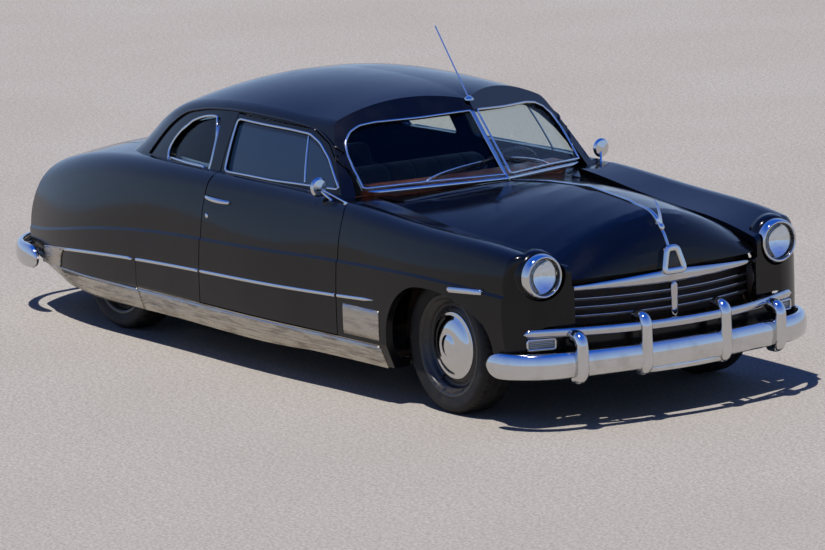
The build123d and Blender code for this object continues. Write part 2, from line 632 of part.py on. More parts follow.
def make_front(parts):
    """Grille bars, bumper, guards and lamps."""
    bars = arc_band(2532, 2402, 540, 26, 527, 541)
    for z in (568, 602):
        bars += arc_band(2532, 2402, 540, 26, z - 7, z + 7)
    bars += block(2488, 2540, -12, 12, 490, 651)
    parts["grille"] = biggest(bars)
    top_bar = arc_band(2535, 2435, 553, 54, 656, 720)
    edges = [e for e in top_bar.edges() if e.center().X > 2470 and e.length > 500]
    parts["grille_top_bar"] = fillet(edges, 18)
    parts["lower_bar"] = lower_grille_bar()
    bars = bumper(2613, (2531, 700), (2240, 925), 105, 22, 340)
    for y, x, top in ((242, 2646, 551), (605, 2600, 495)):
        for side in (-1, 1):
            bars = bars + guard(x, side * y, 234, top, 72, 50)
    for side in (-1, 1):
        bars = bars + block(2300, 2618, side * 390 - 22, side * 390 + 22, 290, 330)
    parts["front_bumper"] = biggest(bars - arc_band(2632, 2409, 770, 56, 451, 516))
    x, y, z = HEADLAMP
    ring = [
        (-60, LENS_R), (28, LENS_R), (40, LENS_R + 6), (34, BEZEL_R - 8), (18, BEZEL_R), (-20, BEZEL_R),
        (-60, BEZEL_R - 8),
    ]
    parts["headlamp_bezels"] = pair(turned(ring, (x, -y, z), (1, 0, 0)))
    lens = [(-40, 0), (-40, LENS_R), (26, LENS_R), (34, LENS_R * 0.7), (40, LENS_R * 0.35), (42, 0)]
    parts["headlamp_lenses"] = pair(turned(lens, (x, -y, z), (1, 0, 0)))
    parts["parking_lamps"] = pair(parking_lamp())


def make_rear(parts, lower):
    """Rear bumper and lamps."""
    bars = mirror(bumper(2613, (2531, 700), (2218, 890), 105, 22, 342), about=Plane.YZ)
    for side in (-1, 1):
        bars = bars + mirror(guard(2646, side * 340, 250, 500, 78, 50), about=Plane.YZ)
        bars = bars + block(-2618, -2290, side * 390 - 22, side * 390 + 22, 268, 312)
    parts["rear_bumper"] = biggest(bars)
    shell = [(0, 0), (0, 52), (24, 50), (44, 36), (54, 14), (56, 0)]
    lamp = turned([(-a, r) for a, r in shell], (-2372, -612, 640), (1, 0, 0)) - lower
    parts["tail_lamps"] = pair(biggest(lamp))


def steering_line():
    """The steering column's two ends. It stops short of the wheel's hub."""
    hub, toe = Vector(STEERING_HUB), Vector(STEERING_TOE)
    return STEERING_TOE, tuple(hub - (hub - toe).normalized() * 42)


def make_floor(parts, lower_void):
    """The stepped floor with its firewall, the frame rails, wheelhouses, seats, dash and engine."""
    plate = plan_prism(FLOOR_PLAN, 190, 214) & block(-880, 1124, -900, 900, 180, 220)
    firewall = [(1118, 202), (1118, 835), (1098, 835), (1098, 330), (1000, 202)]
    steps = [
        (-874, 202), (-850, 202), (-884, 560), (-1882, 560), (-1912, 354), (-2320, 354), (-2320, 330),
        (-1890, 330), (-1860, 540), (-908, 540),
    ]
    parts["floor"] = plate + side_prism(firewall, -580, 580) + side_prism(steps, -575, 575)
    rail = [
        (2300, 266), (2300, 345), (1380, 345), (1180, 188), (-884, 188), (-912, 536), (-1854, 536), (-1884, 326),
        (-2290, 326), (-2290, 240), (-1830, 240), (-1790, 450), (-1010, 450), (-960, 120), (1200, 120), (1420, 266),
    ]
    parts["frame_rails"] = pair(side_prism(rail, -417, -348))
    arc = turned([(-320, 372), (-320, 384), (0, 384), (0, 0), (-12, 0), (-12, 372)], (REAR_AXLE_X, -588, TYRE_R))
    house = (arc & block(-2200, -900, -910, -587, 216, 900)) & lower_void
    house -= block(REAR_AXLE_X - 60, REAR_AXLE_X + 60, -620, -570, 200, 440)
    parts["rear_wheelhouses"] = pair(biggest(house))
    cover = turned([(-320, 436), (-320, 448), (0, 448), (0, 0), (-12, 0), (-12, 436)], (FRONT_AXLE_X, -440, TYRE_R))
    cover = cover & block(1250, 2300, -765, -428, 320, 900)
    cover = cover - block(FRONT_AXLE_X - 190, FRONT_AXLE_X + 190, -470, -430, 200, 480)
    parts["front_wheelhouses"] = pair(biggest(cover))
    parts["engine"] = fillet(block(1240, 2040, -190, 190, 320, 880).edges(), 20)
    parts["radiator"] = block(2200, 2250, -300, 300, 380, 800)
    dash = side_prism([(700, 820), (690, 900), (720, 950), (870, 950), (870, 840)], -690, 690, 14)
    shelf = [(690, -600), (806, -600), (1060, -60), (1060, 60), (806, 600), (690, 600), (730, 300), (745, 0), (730, -300)]
    dash = (dash + plan_prism(shelf, 930, 1000)) - parts["cowl"] - parts["roof"] - parts["door_right"]
    dash -= parts["door_left"] + parts["windshield_frame"] + rod(*steering_line(), 26)
    dash -= pane_slab(-1, -24, 1800) + pane_slab(1, -24, 1800)
    parts["dashboard"] = biggest(dash)
    cushion = side_prism([(560, 300), (590, 400), (540, 440), (120, 420), (100, 290)], -640, 640, 28)
    back = side_prism([(150, 440), (210, 470), (60, 960), (-40, 980), (-70, 940), (70, 430)], -640, 640, 20)
    parts["front_seat"] = group(cushion, back)
    parts["seat_frame"] = block(130, 540, -560, 560, 214, 289)
    cushion = side_prism([(-480, 400), (-460, 470), (-500, 500), (-800, 480), (-800, 380)], -560, 560, 20)
    back = side_prism([(-850, 570), (-800, 600), (-940, 930), (-1010, 930), (-930, 566)], -560, 560, 20)
    parts["rear_seat"] = group(cushion, back)


def make_running_gear(parts):
    """Axles, knuckles, wheels, tyres and exhaust."""
    x, z = FRONT_AXLE_X, TYRE_R
    places = (("front_right", x, -FRONT_WHEEL_Y, -1), ("front_left", x, FRONT_WHEEL_Y, 1),
              ("rear_right", REAR_AXLE_X, -REAR_WHEEL_Y, -1), ("rear_left", REAR_AXLE_X, REAR_WHEEL_Y, 1))
    for name, wheel_x, wheel_y, side in places:
        parts["tyre_" + name] = tyre_at(wheel_x, wheel_y)
        parts["wheel_" + name] = wheel_at(wheel_x, wheel_y, side)
    spindle_end = FRONT_WHEEL_Y + 34
    knuckle = block(x - 32, x + 32, -KINGPIN_Y - 26, -KINGPIN_Y + 26, z - 88, z + 88)
    knuckle += rod((x, -KINGPIN_Y - 20, z), (x, -spindle_end, z), SPINDLE_R)
    knuckle += side_prism([(x - 20, z - 60), (x - 150, z - 70), (x - 150, z - 48), (x - 20, z - 30)],
                          -KINGPIN_Y - 4, -KINGPIN_Y + 22)
    knuckle -= rod((x, -KINGPIN_Y, z - 120), (x, -KINGPIN_Y, z + 120), KINGPIN_R + KINGPIN_CLEARANCE)
    parts["knuckle_right"] = biggest(knuckle)
    parts["knuckle_left"] = mirror_y(biggest(knuckle))
    right = rod((x, -KINGPIN_Y, z - 112), (x, -KINGPIN_Y, z + 112), KINGPIN_R)
    right += plan_prism([(x + 150, -300), (x + 22, -612), (x - 22, -612), (x - 150, -300)], z - 118, z - 96)
    right += plan_prism([(x + 110, -300), (x + 20, -610), (x - 20, -610), (x - 110, -300)], z + 96, z + 114)
    right += block(x - 60, x + 60, -340, -290, z - 118, z + 114)
    beam = block(x - 70, x + 70, -349, 349, 214, 262)
    parts["front_suspension"] = biggest(right + mirror_y(right) + beam)
    end = REAR_WHEEL_Y + 34
    axle = rod((REAR_AXLE_X, -575, z), (REAR_AXLE_X, 575, z), 40)
    axle += rod((REAR_AXLE_X, -end, z), (REAR_AXLE_X, end, z), SPINDLE_R)
    casing = [(-90, 0), (-90, 60), (-50, 120), (50, 120), (90, 60), (90, 0)]
    axle += turned(casing, (REAR_AXLE_X - 10, 0, z), (1, 0, 0))
    parts["rear_axle"] = axle
    spring = block(REAR_AXLE_X - 480, REAR_AXLE_X + 500, -540, -490, z - 66, z - 40.5)
    parts["rear_springs"] = pair(spring)
    parts["driveshaft"] = rod((REAR_AXLE_X + 82, 0, z), (-900, 0, z - 12), 34)
    pipe = rod((1300, -250, 150), (-300, -250, 150), 24) + rod((-300, -250, 150), (-820, -250, 150), 38)
    pipe += rod((-820, -250, 165), (-2610, -250, 165), 24)
    parts["exhaust"] = pipe - rod((-2530, -250, 165), (-2620, -250, 165), TAILPIPE_R)
    parts["fuel_tank"] = fillet(block(-2300, -1930, -340, 340, 215, 328).edges(), 18)


def make_small_parts(parts, upper):
    """Steering, mirrors and antenna."""
    parts["steering_column"] = rod(*steering_line(), 24)
    hub, toe = Vector(STEERING_HUB), Vector(STEERING_TOE)
    plane = Plane(origin=hub, z_dir=(hub - toe).normalized())
    parts["steering_wheel"] = plane * (Torus(205, 11) + Box(404, 22, 10) + Cylinder(38, 40))
    head = turned([(0, 0), (0, 46), (10, 50), (22, 40), (28, 0)], (722, -884, 1026), (1, 0, 0))
    stalk = rod((738, -878, 1010), (800, -830, 940), 7)
    mirror_right = biggest((head + stalk) - parts["door_right"])
    parts["mirror_right"] = mirror_right
    parts["mirror_left"] = mirror_y(mirror_right)
    base = turned([(0, 0), (0, 26), (8, 24), (20, 10), (20, 0)], (812, 0, 1384), (0, 0, 1))
    whip = rod((812, 0, 1392), (528, 0, 1738), 4)
    parts["antenna"] = biggest((base + whip) - upper)


def main():
    parts = {}
    lower, upper, lower_void, dome, dome_void = make_body_panels(parts)
    make_hood(parts, dome, dome_void)
    make_front(parts)
    make_rear(parts, lower)
    make_floor(parts, lower_void)
    make_running_gear(parts)
    make_small_parts(parts, upper)
    for name, shape in parts.items():
        export_step(shape, f"parts/{name}.step")


main()
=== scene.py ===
"""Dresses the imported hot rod: worn enamel, pitted chrome, mouldings, tyres, trims, seats and its setting."""
import math

import bpy
import numpy as np
from mathutils import Matrix, Vector
from mathutils.bvhtree import BVHTree


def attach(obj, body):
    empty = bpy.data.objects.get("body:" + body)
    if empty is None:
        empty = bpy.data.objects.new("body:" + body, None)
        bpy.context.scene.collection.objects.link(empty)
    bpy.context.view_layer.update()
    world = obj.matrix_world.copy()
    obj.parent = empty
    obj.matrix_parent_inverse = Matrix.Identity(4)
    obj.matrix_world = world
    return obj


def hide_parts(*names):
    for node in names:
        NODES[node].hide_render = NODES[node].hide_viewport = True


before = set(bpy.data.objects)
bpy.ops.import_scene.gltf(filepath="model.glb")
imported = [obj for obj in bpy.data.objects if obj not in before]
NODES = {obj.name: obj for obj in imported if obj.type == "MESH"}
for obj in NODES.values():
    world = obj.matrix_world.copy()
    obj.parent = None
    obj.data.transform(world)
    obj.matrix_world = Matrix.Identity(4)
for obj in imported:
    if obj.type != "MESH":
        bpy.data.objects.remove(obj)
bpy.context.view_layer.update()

MM = 0.001

# Real sizes in metres, repeated from the part
FRONT_AXLE_X, REAR_AXLE_X = 1.750, -1.400
FRONT_WHEEL_Y, REAR_WHEEL_Y = 0.735, 0.705
TYRE_R, TYRE_HALF = 0.341, 0.100
HEADLAMP, LENS_R = (2.411, -0.720, 0.762), 0.092
GLASS_FOOT, GLASS_HEAD, GLASS_CORNER = (1.149, 0, 1.030), (0.847, 0, 1.345), (0.830, -0.664, 0.996)
DOOR_WINDOW = [(752, 1004), (700, 1050), (600, 1142), (490, 1206), (385, 1238), (-276, 1250), (-248, 992)]
QUARTER_WINDOW = [(-400, 992), (-446, 1240), (-600, 1230), (-760, 1180), (-850, 1100), (-884, 1034),
                  (-862, 996)]

# The camera: where it stands, how it is turned (degrees) and its lens, found from named points of the photo
CAMERA_AT = (25.623, -17.182, 5.811)
CAMERA_YAW, CAMERA_PITCH, CAMERA_ROLL = 145.90, -10.01, -1.91
FOCAL_PIXELS, PHOTO_WIDTH, SENSOR = 5963.0, 825.0, 36.0
SUN_DIRECTION = (-0.15, 0.30, -1.0)


# Colours and shader nodes


def colour(code, alpha=1.0):
    """An sRGB hex colour as linear RGBA: each channel c becomes c/12.92, or ((c+0.055)/1.055)^2.4 above
    0.04045."""
    channels = np.array([int(code[i:i + 2], 16) for i in (1, 3, 5)]) / 255
    linear = np.where(channels <= 0.04045, channels / 12.92, ((channels + 0.055) / 1.055) ** 2.4)
    return (*linear.tolist(), alpha)


def add(tree, kind, inputs=None, out=0, **settings):
    """Adds one shader node with its settings, sets or links its inputs by name or number, and gives one
    output."""
    made = tree.nodes.new(kind)
    for key, value in settings.items():
        setattr(made, key, value)
    for name, value in (inputs or {}).items():
        if isinstance(value, bpy.types.NodeSocket):
            tree.links.new(value, made.inputs[name])
        else:
            made.inputs[name].default_value = value
    return made.outputs[out] if len(made.outputs) else made


def new_material(name):
    """A new empty material with its tree and the position on the piece, in metres."""
    material = bpy.data.materials.new(name)
    material.use_nodes = True
    material.node_tree.nodes.clear()
    return material, material.node_tree, add(material.node_tree, "ShaderNodeTexCoord", out="Object")


def patches(tree, place, size_mm, low, high, detail=4.0, roughness=0.55):
    """A mask of clouds or spots of the given size: 0 where the noise is below low, 1 where it is above
    high."""
    noise = add(tree, "ShaderNodeTexNoise", {"Vector": place, "Scale": 1000 / size_mm, "Detail": detail,
                                             "Roughness": roughness}, out="Fac")
    return add(tree, "ShaderNodeMapRange", {"Value": noise, "From Min": low, "From Max": high})


def below(tree, place, full_z, none_z):
    """A mask that is 1 at and under one height in metres and falls to 0 at the other."""
    height = add(tree, "ShaderNodeSeparateXYZ", {0: place}, out="Z")
    return add(tree, "ShaderNodeMapRange", {"Value": height, "From Min": full_z, "From Max": none_z,
                                            "To Min": 1.0, "To Max": 0.0})


# Materials

# The wave texture's scale times its band pitch in millimetres
WAVE_PITCH = 314.16


def aged_black_enamel():
    """Sprayed black enamel: deep gloss on top, with dull sun-faded clouds, fine scuffs, chips and road dust
    below."""
    material, tree, place = new_material("aged_black_enamel")
    low = below(tree, place, 0.22, 0.80)
    clouds = patches(tree, place, 260, 0.40, 0.70)
    dust = add(tree, "ShaderNodeMath", {0: low, 1: clouds}, operation="MULTIPLY")
    dust = add(tree, "ShaderNodeMath", {0: dust, 1: 0.05, 2: 0.003}, operation="MULTIPLY_ADD")
    scuffs = patches(tree, place, 38, 0.66, 0.80, detail=9, roughness=0.7)
    chips = patches(tree, place, 13, 0.785, 0.80, detail=6)
    base = add(tree, "ShaderNodeMix", {0: dust, 6: colour("#040508"), 7: colour("#6f685d")}, 2,
               data_type="RGBA")
    base = add(tree, "ShaderNodeMix", {0: chips, 6: base, 7: colour("#4c3a2c")}, 2, data_type="RGBA")
    rough = add(tree, "ShaderNodeMapRange", {"Value": clouds, "To Min": 0.10, "To Max": 0.19})
    rough = add(tree, "ShaderNodeMix", {0: scuffs, 2: rough, 3: 0.42})
    rough = add(tree, "ShaderNodeMix", {0: low, 2: rough, 3: 0.24})
    rough = add(tree, "ShaderNodeMix", {0: chips, 2: rough, 3: 0.8})
    waves = add(tree, "ShaderNodeTexNoise", {"Vector": place, "Scale": 5.0, "Detail": 1.0})
    normal = add(tree, "ShaderNodeBump", {"Height": waves, "Distance": 0.0012, "Strength": 0.5})
    add(tree, "ShaderNodeOutputMaterial", {"Surface": add(tree, "ShaderNodeBsdfPrincipled", {
        "Base Color": base, "Roughness": rough, "IOR": 1.36, "Coat Weight": 0.08, "Coat Roughness": 0.05,
        "Normal": normal})})
    return material


def pitted_chrome(name, rust, spot_mm, tone="#cfd0cf"):
    """Chrome plate on pressed steel: mirror bright, with brown stain and rust that comes up through the
    pits."""
    material, tree, place = new_material(name)
    start = 0.80 - rust * 0.25
    pits = patches(tree, place, spot_mm, start, start + 0.04, detail=8, roughness=0.72)
    stain = patches(tree, place, 85, 0.50, 0.84, detail=7)
    stain = add(tree, "ShaderNodeMath", {0: stain, 1: rust * 0.8}, operation="MULTIPLY")
    base = add(tree, "ShaderNodeMix", {0: stain, 6: colour(tone), 7: colour("#7d6c5a")}, 2, data_type="RGBA")
    base = add(tree, "ShaderNodeMix", {0: pits, 6: base, 7: colour("#5a3218")}, 2, data_type="RGBA")
    rough = add(tree, "ShaderNodeMapRange", {"Value": stain, "To Min": 0.06, "To Max": 0.45})
    rough = add(tree, "ShaderNodeMix", {0: pits, 2: rough, 3: 0.85})
    metal = add(tree, "ShaderNodeMapRange", {"Value": pits, "To Min": 1.0, "To Max": 0.1})
    normal = add(tree, "ShaderNodeBump", {"Height": pits, "Distance": 0.0003, "Strength": 0.4})
    add(tree, "ShaderNodeOutputMaterial", {"Surface": add(tree, "ShaderNodeBsdfPrincipled", {
        "Base Color": base, "Roughness": rough, "Metallic": metal, "Normal": normal})})
    return material


def dull_stainless():
    """Rolled stainless strip: satin, with grime and a warm tarnish drawn out along its length."""
    material, tree, place = new_material("dull_stainless")
    drawn = add(tree, "ShaderNodeMapping", {"Vector": place, "Scale": (0.25, 1, 1.8)})
    grime = patches(tree, drawn, 42, 0.46, 0.74, detail=8, roughness=0.66)
    base = add(tree, "ShaderNodeMix", {0: grime, 6: colour("#bdb7ac"), 7: colour("#7d7060")}, 2,
               data_type="RGBA")
    rough = add(tree, "ShaderNodeMapRange", {"Value": grime, "To Min": 0.26, "To Max": 0.6})
    metal = add(tree, "ShaderNodeMapRange", {"Value": grime, "To Min": 1.0, "To Max": 0.5})
    add(tree, "ShaderNodeOutputMaterial", {"Surface": add(tree, "ShaderNodeBsdfPrincipled", {
        "Base Color": base, "Roughness": rough, "Metallic": metal})})
    return material


def two_tone(name, size_mm, first, second, rough_first, rough_second, grain_mm, grain_depth_mm, **constants):
    """A hard surface whose colour and roughness drift between two states in clouds of one size, over a fine
    grain of another. Names of shader constants are written with underscores."""
    material, tree, place = new_material(name)
    cloud = patches(tree, place, size_mm, 0.40, 0.72, detail=7)
    base = add(tree, "ShaderNodeMix", {0: cloud, 6: colour(first), 7: colour(second)}, 2, data_type="RGBA")
    rough = add(tree, "ShaderNodeMapRange", {"Value": cloud, "To Min": rough_first, "To Max": rough_second})
    grain = add(tree, "ShaderNodeTexNoise", {"Vector": place, "Scale": 1000 / grain_mm, "Detail": 4.0})
    normal = add(tree, "ShaderNodeBump", {"Height": grain, "Distance": grain_depth_mm * MM, "Strength": 0.5})
    shader = {"Base Color": base, "Roughness": rough, "Normal": normal}
    shader.update({key.replace("_", " "): value for key, value in constants.items()})
    add(tree, "ShaderNodeOutputMaterial", {"Surface": add(tree, "ShaderNodeBsdfPrincipled", shader)})
    return material


def window_glass(name, tint, haze, ior=1.5, clearness=1.0):
    """Sheet glass 5 to 6 mm thick, with a faint film of dust in clouds."""
    material, tree, place = new_material(name)
    film = patches(tree, place, 150, 0.42, 0.80)
    rough = add(tree, "ShaderNodeMapRange", {"Value": film, "To Min": 0.0, "To Max": haze})
    add(tree, "ShaderNodeOutputMaterial", {"Surface": add(tree, "ShaderNodeBsdfPrincipled", {
        "Base Color": colour(tint), "Roughness": rough, "IOR": ior, "Transmission Weight": clearness})})
    return material


def pressed_lens(name, valley, crest, pitch_mm, axis, silver, clearness, flute_mm=0.6):
    """Pressed lens glass or acrylic, fluted at a pitch along one axis, with the silvered bowl glinting
    behind."""
    material, tree, place = new_material(name)
    flute = add(tree, "ShaderNodeTexWave", {"Vector": place, "Scale": WAVE_PITCH / pitch_mm,
                                            "Distortion": 0.0, "Detail": 0.0}, out="Fac", bands_direction=axis)
    haze = patches(tree, place, 18, 0.45, 0.80)
    base = add(tree, "ShaderNodeMix", {0: flute, 6: colour(valley), 7: colour(crest)}, 2, data_type="RGBA")
    rough = add(tree, "ShaderNodeMapRange", {"Value": haze, "To Min": 0.02, "To Max": 0.07})
    normal = add(tree, "ShaderNodeBump", {"Height": flute, "Distance": flute_mm * MM, "Strength": 0.8})
    add(tree, "ShaderNodeOutputMaterial", {"Surface": add(tree, "ShaderNodeBsdfPrincipled", {
        "Base Color": base, "Roughness": rough, "Normal": normal, "IOR": 1.5, "Metallic": silver,
        "Transmission Weight": clearness})})
    return material


def wool_seat_cloth():
    """Woven wool-blend seat cloth in charcoal with worn paler places. The threads are 2.4 mm apart, coarser
    than real so that they show."""
    material, tree, place = new_material("wool_seat_cloth")
    threads = WAVE_PITCH / 2.4
    across = add(tree, "ShaderNodeTexWave", {"Vector": place, "Scale": threads, "Distortion": 0.4}, out="Fac",
                 bands_direction="Y")
    along = add(tree, "ShaderNodeTexWave", {"Vector": place, "Scale": threads, "Distortion": 0.4}, out="Fac",
                bands_direction="DIAGONAL")
    weave = add(tree, "ShaderNodeMath", {0: across, 1: along}, operation="MULTIPLY")
    worn = patches(tree, place, 120, 0.42, 0.80)
    base = add(tree, "ShaderNodeMix", {0: weave, 6: colour("#1b1a19"), 7: colour("#3a3733")}, 2,
               data_type="RGBA")
    base = add(tree, "ShaderNodeMix", {0: worn, 6: base, 7: colour("#47423b")}, 2, data_type="RGBA")
    normal = add(tree, "ShaderNodeBump", {"Height": weave, "Distance": 0.0005, "Strength": 0.6})
    add(tree, "ShaderNodeOutputMaterial", {"Surface": add(tree, "ShaderNodeBsdfPrincipled", {
        "Base Color": base, "Roughness": 0.92, "Normal": normal, "Sheen Weight": 0.3,
        "Sheen Roughness": 0.5})})
    return material


def pale_asphalt():
    """Old sun-bleached asphalt for the floor: pale stone grit with dark binder between, faint wide stains,
    no gloss."""
    material, tree, place = new_material("pale_asphalt")
    grit = patches(tree, place, 16, 0.34, 0.66, detail=5, roughness=0.75)
    stones = patches(tree, place, 45, 0.30, 0.70, detail=3)
    stains = patches(tree, place, 1700, 0.30, 0.72)
    base = add(tree, "ShaderNodeMix", {0: grit, 6: colour("#7f7d79"), 7: colour("#dcdad6")}, 2,
               data_type="RGBA")
    pale = add(tree, "ShaderNodeMix", {0: stones, 6: colour("#a5a29c"), 7: colour("#cecbc6")}, 2,
               data_type="RGBA")
    base = add(tree, "ShaderNodeMix", {0: 0.30, 6: base, 7: pale}, 2, data_type="RGBA")
    worn = add(tree, "ShaderNodeMath", {0: stains, 1: 0.30}, operation="MULTIPLY")
    base = add(tree, "ShaderNodeMix", {0: worn, 6: base, 7: colour("#a39d93")}, 2, data_type="RGBA")
    normal = add(tree, "ShaderNodeBump", {"Height": grit, "Distance": 0.002, "Strength": 0.4})
    add(tree, "ShaderNodeOutputMaterial", {"Surface": add(tree, "ShaderNodeBsdfPrincipled", {
        "Base Color": base, "Roughness": 0.95, "Specular IOR Level": 0.1, "Normal": normal})})
    return material


ENAMEL = aged_black_enamel()
CHROME = pitted_chrome("bright_chrome", 0.12, 8)
GRILLE_CHROME = pitted_chrome("grille_chrome", 0.30, 9, "#c4c5c6")
BUMPER_CHROME = pitted_chrome("bumper_chrome", 0.42, 11, "#d2d3d3")
STAINLESS = dull_stainless()
SILVER = pitted_chrome("silvered_bowl", 0.0, 6, "#e2e6e8")
# Stove-enamelled wheel steel under brake dust: satin dark grey
WHEEL = two_tone("stoved_wheel_enamel", 30, "#1f2226", "#453f37", 0.30, 0.60, 3, 0.1, IOR=1.5)
# Carbon-black rubber greyed by dust: matt and faintly grained
RUBBER = two_tone("tyre_rubber", 45, "#131314", "#2b2926", 0.65, 0.85, 1.2, 0.3, IOR=1.52,
                  Specular_IOR_Level=0.35)
CLEAR = window_glass("clear_plate_glass", "#e8f1f0", 0.04, ior=1.18)
# The right door's glass is dark sky blue and lets a quarter of the light through: a painted sky reflection,
# while the left door's glass is clear.
SKY_REFLECTION_GLASS = window_glass("glass_painted_sky_reflection", "#1d3350", 0.08, clearness=0.25)
LENS = pressed_lens("fluted_lamp_glass", "#eef3f4", "#ffffff", 9, "Y", 0.0, 1.0, 0.08)
PARKING_LENS = pressed_lens("ribbed_parking_glass", "#6d7274", "#b9bfc0", 9, "Z", 0.3, 0.0, 1.0)
RED = pressed_lens("red_acrylic_lens", "#6c080a", "#a81417", 7, "Z", 0.0, 0.25)
# Brushed chassis paint over rust and road dirt: matt black-brown
CHASSIS = two_tone("brushed_chassis_paint", 70, "#1b1a19", "#4a3322", 0.55, 0.88, 4, 0.9, IOR=1.5)
# Sand-cast grey iron with a film of oil: dark, half matt, sandy
IRON = two_tone("sand_cast_iron", 90, "#3b3d3b", "#1d1b19", 0.72, 0.38, 2, 0.6, IOR=1.6)
CLOTH = wool_seat_cloth()
# Sun-faded dash lacquer: a red-brown that goes chalky
DASH = two_tone("faded_dash_lacquer", 200, "#4a1e11", "#8b4c2d", 0.34, 0.62, 2, 0.1, IOR=1.5)
# Moulded phenolic and hard rubber: near black, polished by hands
PHENOLIC = two_tone("moulded_phenolic", 35, "#0e0e0f", "#242220", 0.24, 0.46, 2, 0.1, IOR=1.55)
GROUND = pale_asphalt()

FINISHES = {
    ENAMEL: "roof cowl front_fenders quarter_panels deck_panel tail_panel fender_skirts front_panel "
            "door_right door_left hood trunk_lid",
    CHROME: "headlamp_bezels windshield_frame hood_ornament mirror_right mirror_left antenna",
    GRILLE_CHROME: "grille grille_top_bar lower_bar",
    BUMPER_CHROME: "front_bumper rear_bumper",
    STAINLESS: "rocker_panels",
    WHEEL: "wheel_front_right wheel_front_left wheel_rear_right wheel_rear_left",
    RUBBER: "tyre_front_right tyre_front_left tyre_rear_right tyre_rear_left",
    CLEAR: "windshield rear_window quarter_glass door_glass_left",
    SKY_REFLECTION_GLASS: "door_glass_right",
    LENS: "headlamp_lenses",
    RED: "tail_lamps",
    # parking_lamps get the dark chassis paint as painted shade. The node is hidden later under the dressed
    # parking lamp.
    CHASSIS: "floor frame_rails rear_wheelhouses front_wheelhouses seat_frame fuel_tank driveshaft "
             "exhaust radiator front_suspension rear_axle rear_springs steering_column knuckle_right "
             "knuckle_left parking_lamps",
    IRON: "engine",
    CLOTH: "front_seat rear_seat",
    DASH: "dashboard",
    PHENOLIC: "steering_wheel",
}
for finish, names in FINISHES.items():
    for name in names.split():
        for slot in NODES[name].material_slots:
            slot.material = finish


# Meshes from arrays


def place_piece(name, points, faces, finish, body, replaces=()):
    """Puts an array of points and its faces into a new object that rides on a body."""
    mesh = bpy.data.meshes.new(name)
    mesh.from_pydata(np.asarray(points).reshape(-1, 3).tolist(), [], [face.tolist() for face in faces])
    mesh.validate()
    mesh.shade_smooth()
    mesh.materials.append(finish)
    piece = bpy.data.objects.new(name, mesh)
    bpy.context.scene.collection.objects.link(piece)
    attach(piece, body)
    if replaces:
        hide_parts(*replaces)
    return piece


def grid_faces(rows, columns, wrap_rows=False, wrap_columns=False, flip=False):
    """The quads of a rows by columns grid, closed round either way when asked, as a list of index
    arrays."""
    r, c = np.meshgrid(np.arange(rows if wrap_rows else rows - 1),
                       np.arange(columns if wrap_columns else columns - 1),
                       indexing="ij")
    r, c = r.ravel(), c.ravel()
    up, over = (r + 1) % rows, (c + 1) % columns
    quads = np.stack([r * columns + c, r * columns + over, up * columns + over, up * columns + c], 1)
    return list(quads[:, ::-1] if flip else quads)


def end_caps(rows, columns):
    """The two end faces of an open tube whose rows are its rings."""
    return [np.arange(columns)[::-1], np.arange(columns) + (rows - 1) * columns]


def outward_tube(points, closed=False):
    """Faces of a tube of rings, capped unless its path closes, turned so that they enclose a positive
    volume."""
    rows, columns = points.shape[:2]
    faces = grid_faces(rows, columns, closed, True) + ([] if closed else end_caps(rows, columns))
    flat = points.reshape(-1, 3) - points.mean((0, 1))
    volume = 0.0
    for face in faces:
        fan = np.cross(flat[face[1:-1]], flat[face[2:]])
        volume += float((fan @ flat[face[0]]).sum())
    return faces if volume > 0 else [face[::-1] for face in faces]


def unit(vectors):
    """Vectors scaled to length 1."""
    return vectors / np.linalg.norm(vectors, axis=-1, keepdims=True)


def carried(path, outward, profile, closed=False):
    """A closed profile carried along a path: each point is path + across * u + outward * v, where across is
    the tangent crossed with outward. The profile may have a ring of its own at each path point."""
    path, outward = np.asarray(path, float), np.asarray(outward, float)
    profile = np.broadcast_to(np.asarray(profile, float), (len(path), *np.shape(profile)[-2:]))
    if closed:
        tangent = unit(np.roll(path, -1, 0) - np.roll(path, 1, 0))
    else:
        tangent = unit(np.gradient(path, axis=0))
    outward = unit(outward - np.sum(outward * tangent, 1, keepdims=True) * tangent)
    across = np.cross(tangent, outward)
    return path[:, None] + across[:, None] * profile[:, :, :1] + outward[:, None] * profile[:, :, 1:]


def half_round(width, height):
    """A half-round moulding section: an ellipse arc over a back that sinks 2 mm into the panel."""
    angle = np.linspace(0, math.pi, 9)
    arc = np.stack([-np.cos(angle) * width / 2, np.sin(angle) * height], 1)
    return np.vstack([[width / 2, -0.002], [-width / 2, -0.002], arc])


def rounded_ends(path, length):
    """A scale for each path point that closes both ends as a quarter ellipse: sqrt(1 - (1 - d / length)
    squared) for the distance d to the nearer end."""
    run = np.concatenate([[0], np.cumsum(np.linalg.norm(np.diff(path, axis=0), axis=1))])
    near = np.clip(np.minimum(run, run[-1] - run) / length, 0.006, 1)
    return np.sqrt(1 - (1 - near) ** 2)


def on_both_sides(name, points, closed, finish, body, replaces=()):
    """The right-hand tube and its left-hand twin with y turned over, each riding on its own side's body."""
    left = "left_door" if body == "right_door" else body
    place_piece(name + "_right", points, outward_tube(points, closed), finish, body, replaces)
    points = points * (1, -1, 1)
    place_piece(name + "_left", points, outward_tube(points, closed), finish, left, replaces)


def mesh_points(mesh):
    """A mesh's points as rows of x, y and z."""
    place = np.empty(len(mesh.vertices) * 3)
    mesh.vertices.foreach_get("co", place)
    return place.reshape(-1, 3)


def skin_of(*names):
    """A search tree over the surfaces of some CAD nodes."""
    points, faces, start = [], [], 0
    for name in names:
        mesh = NODES[name].data
        mesh.calc_loop_triangles()
        corners = np.empty(len(mesh.loop_triangles) * 3, dtype=int)
        mesh.loop_triangles.foreach_get("vertices", corners)
        points.append(mesh_points(mesh))
        faces.append(corners.reshape(-1, 3) + start)
        start += len(mesh.vertices)
    return BVHTree.FromPolygons(np.vstack(points).tolist(), np.vstack(faces).tolist())


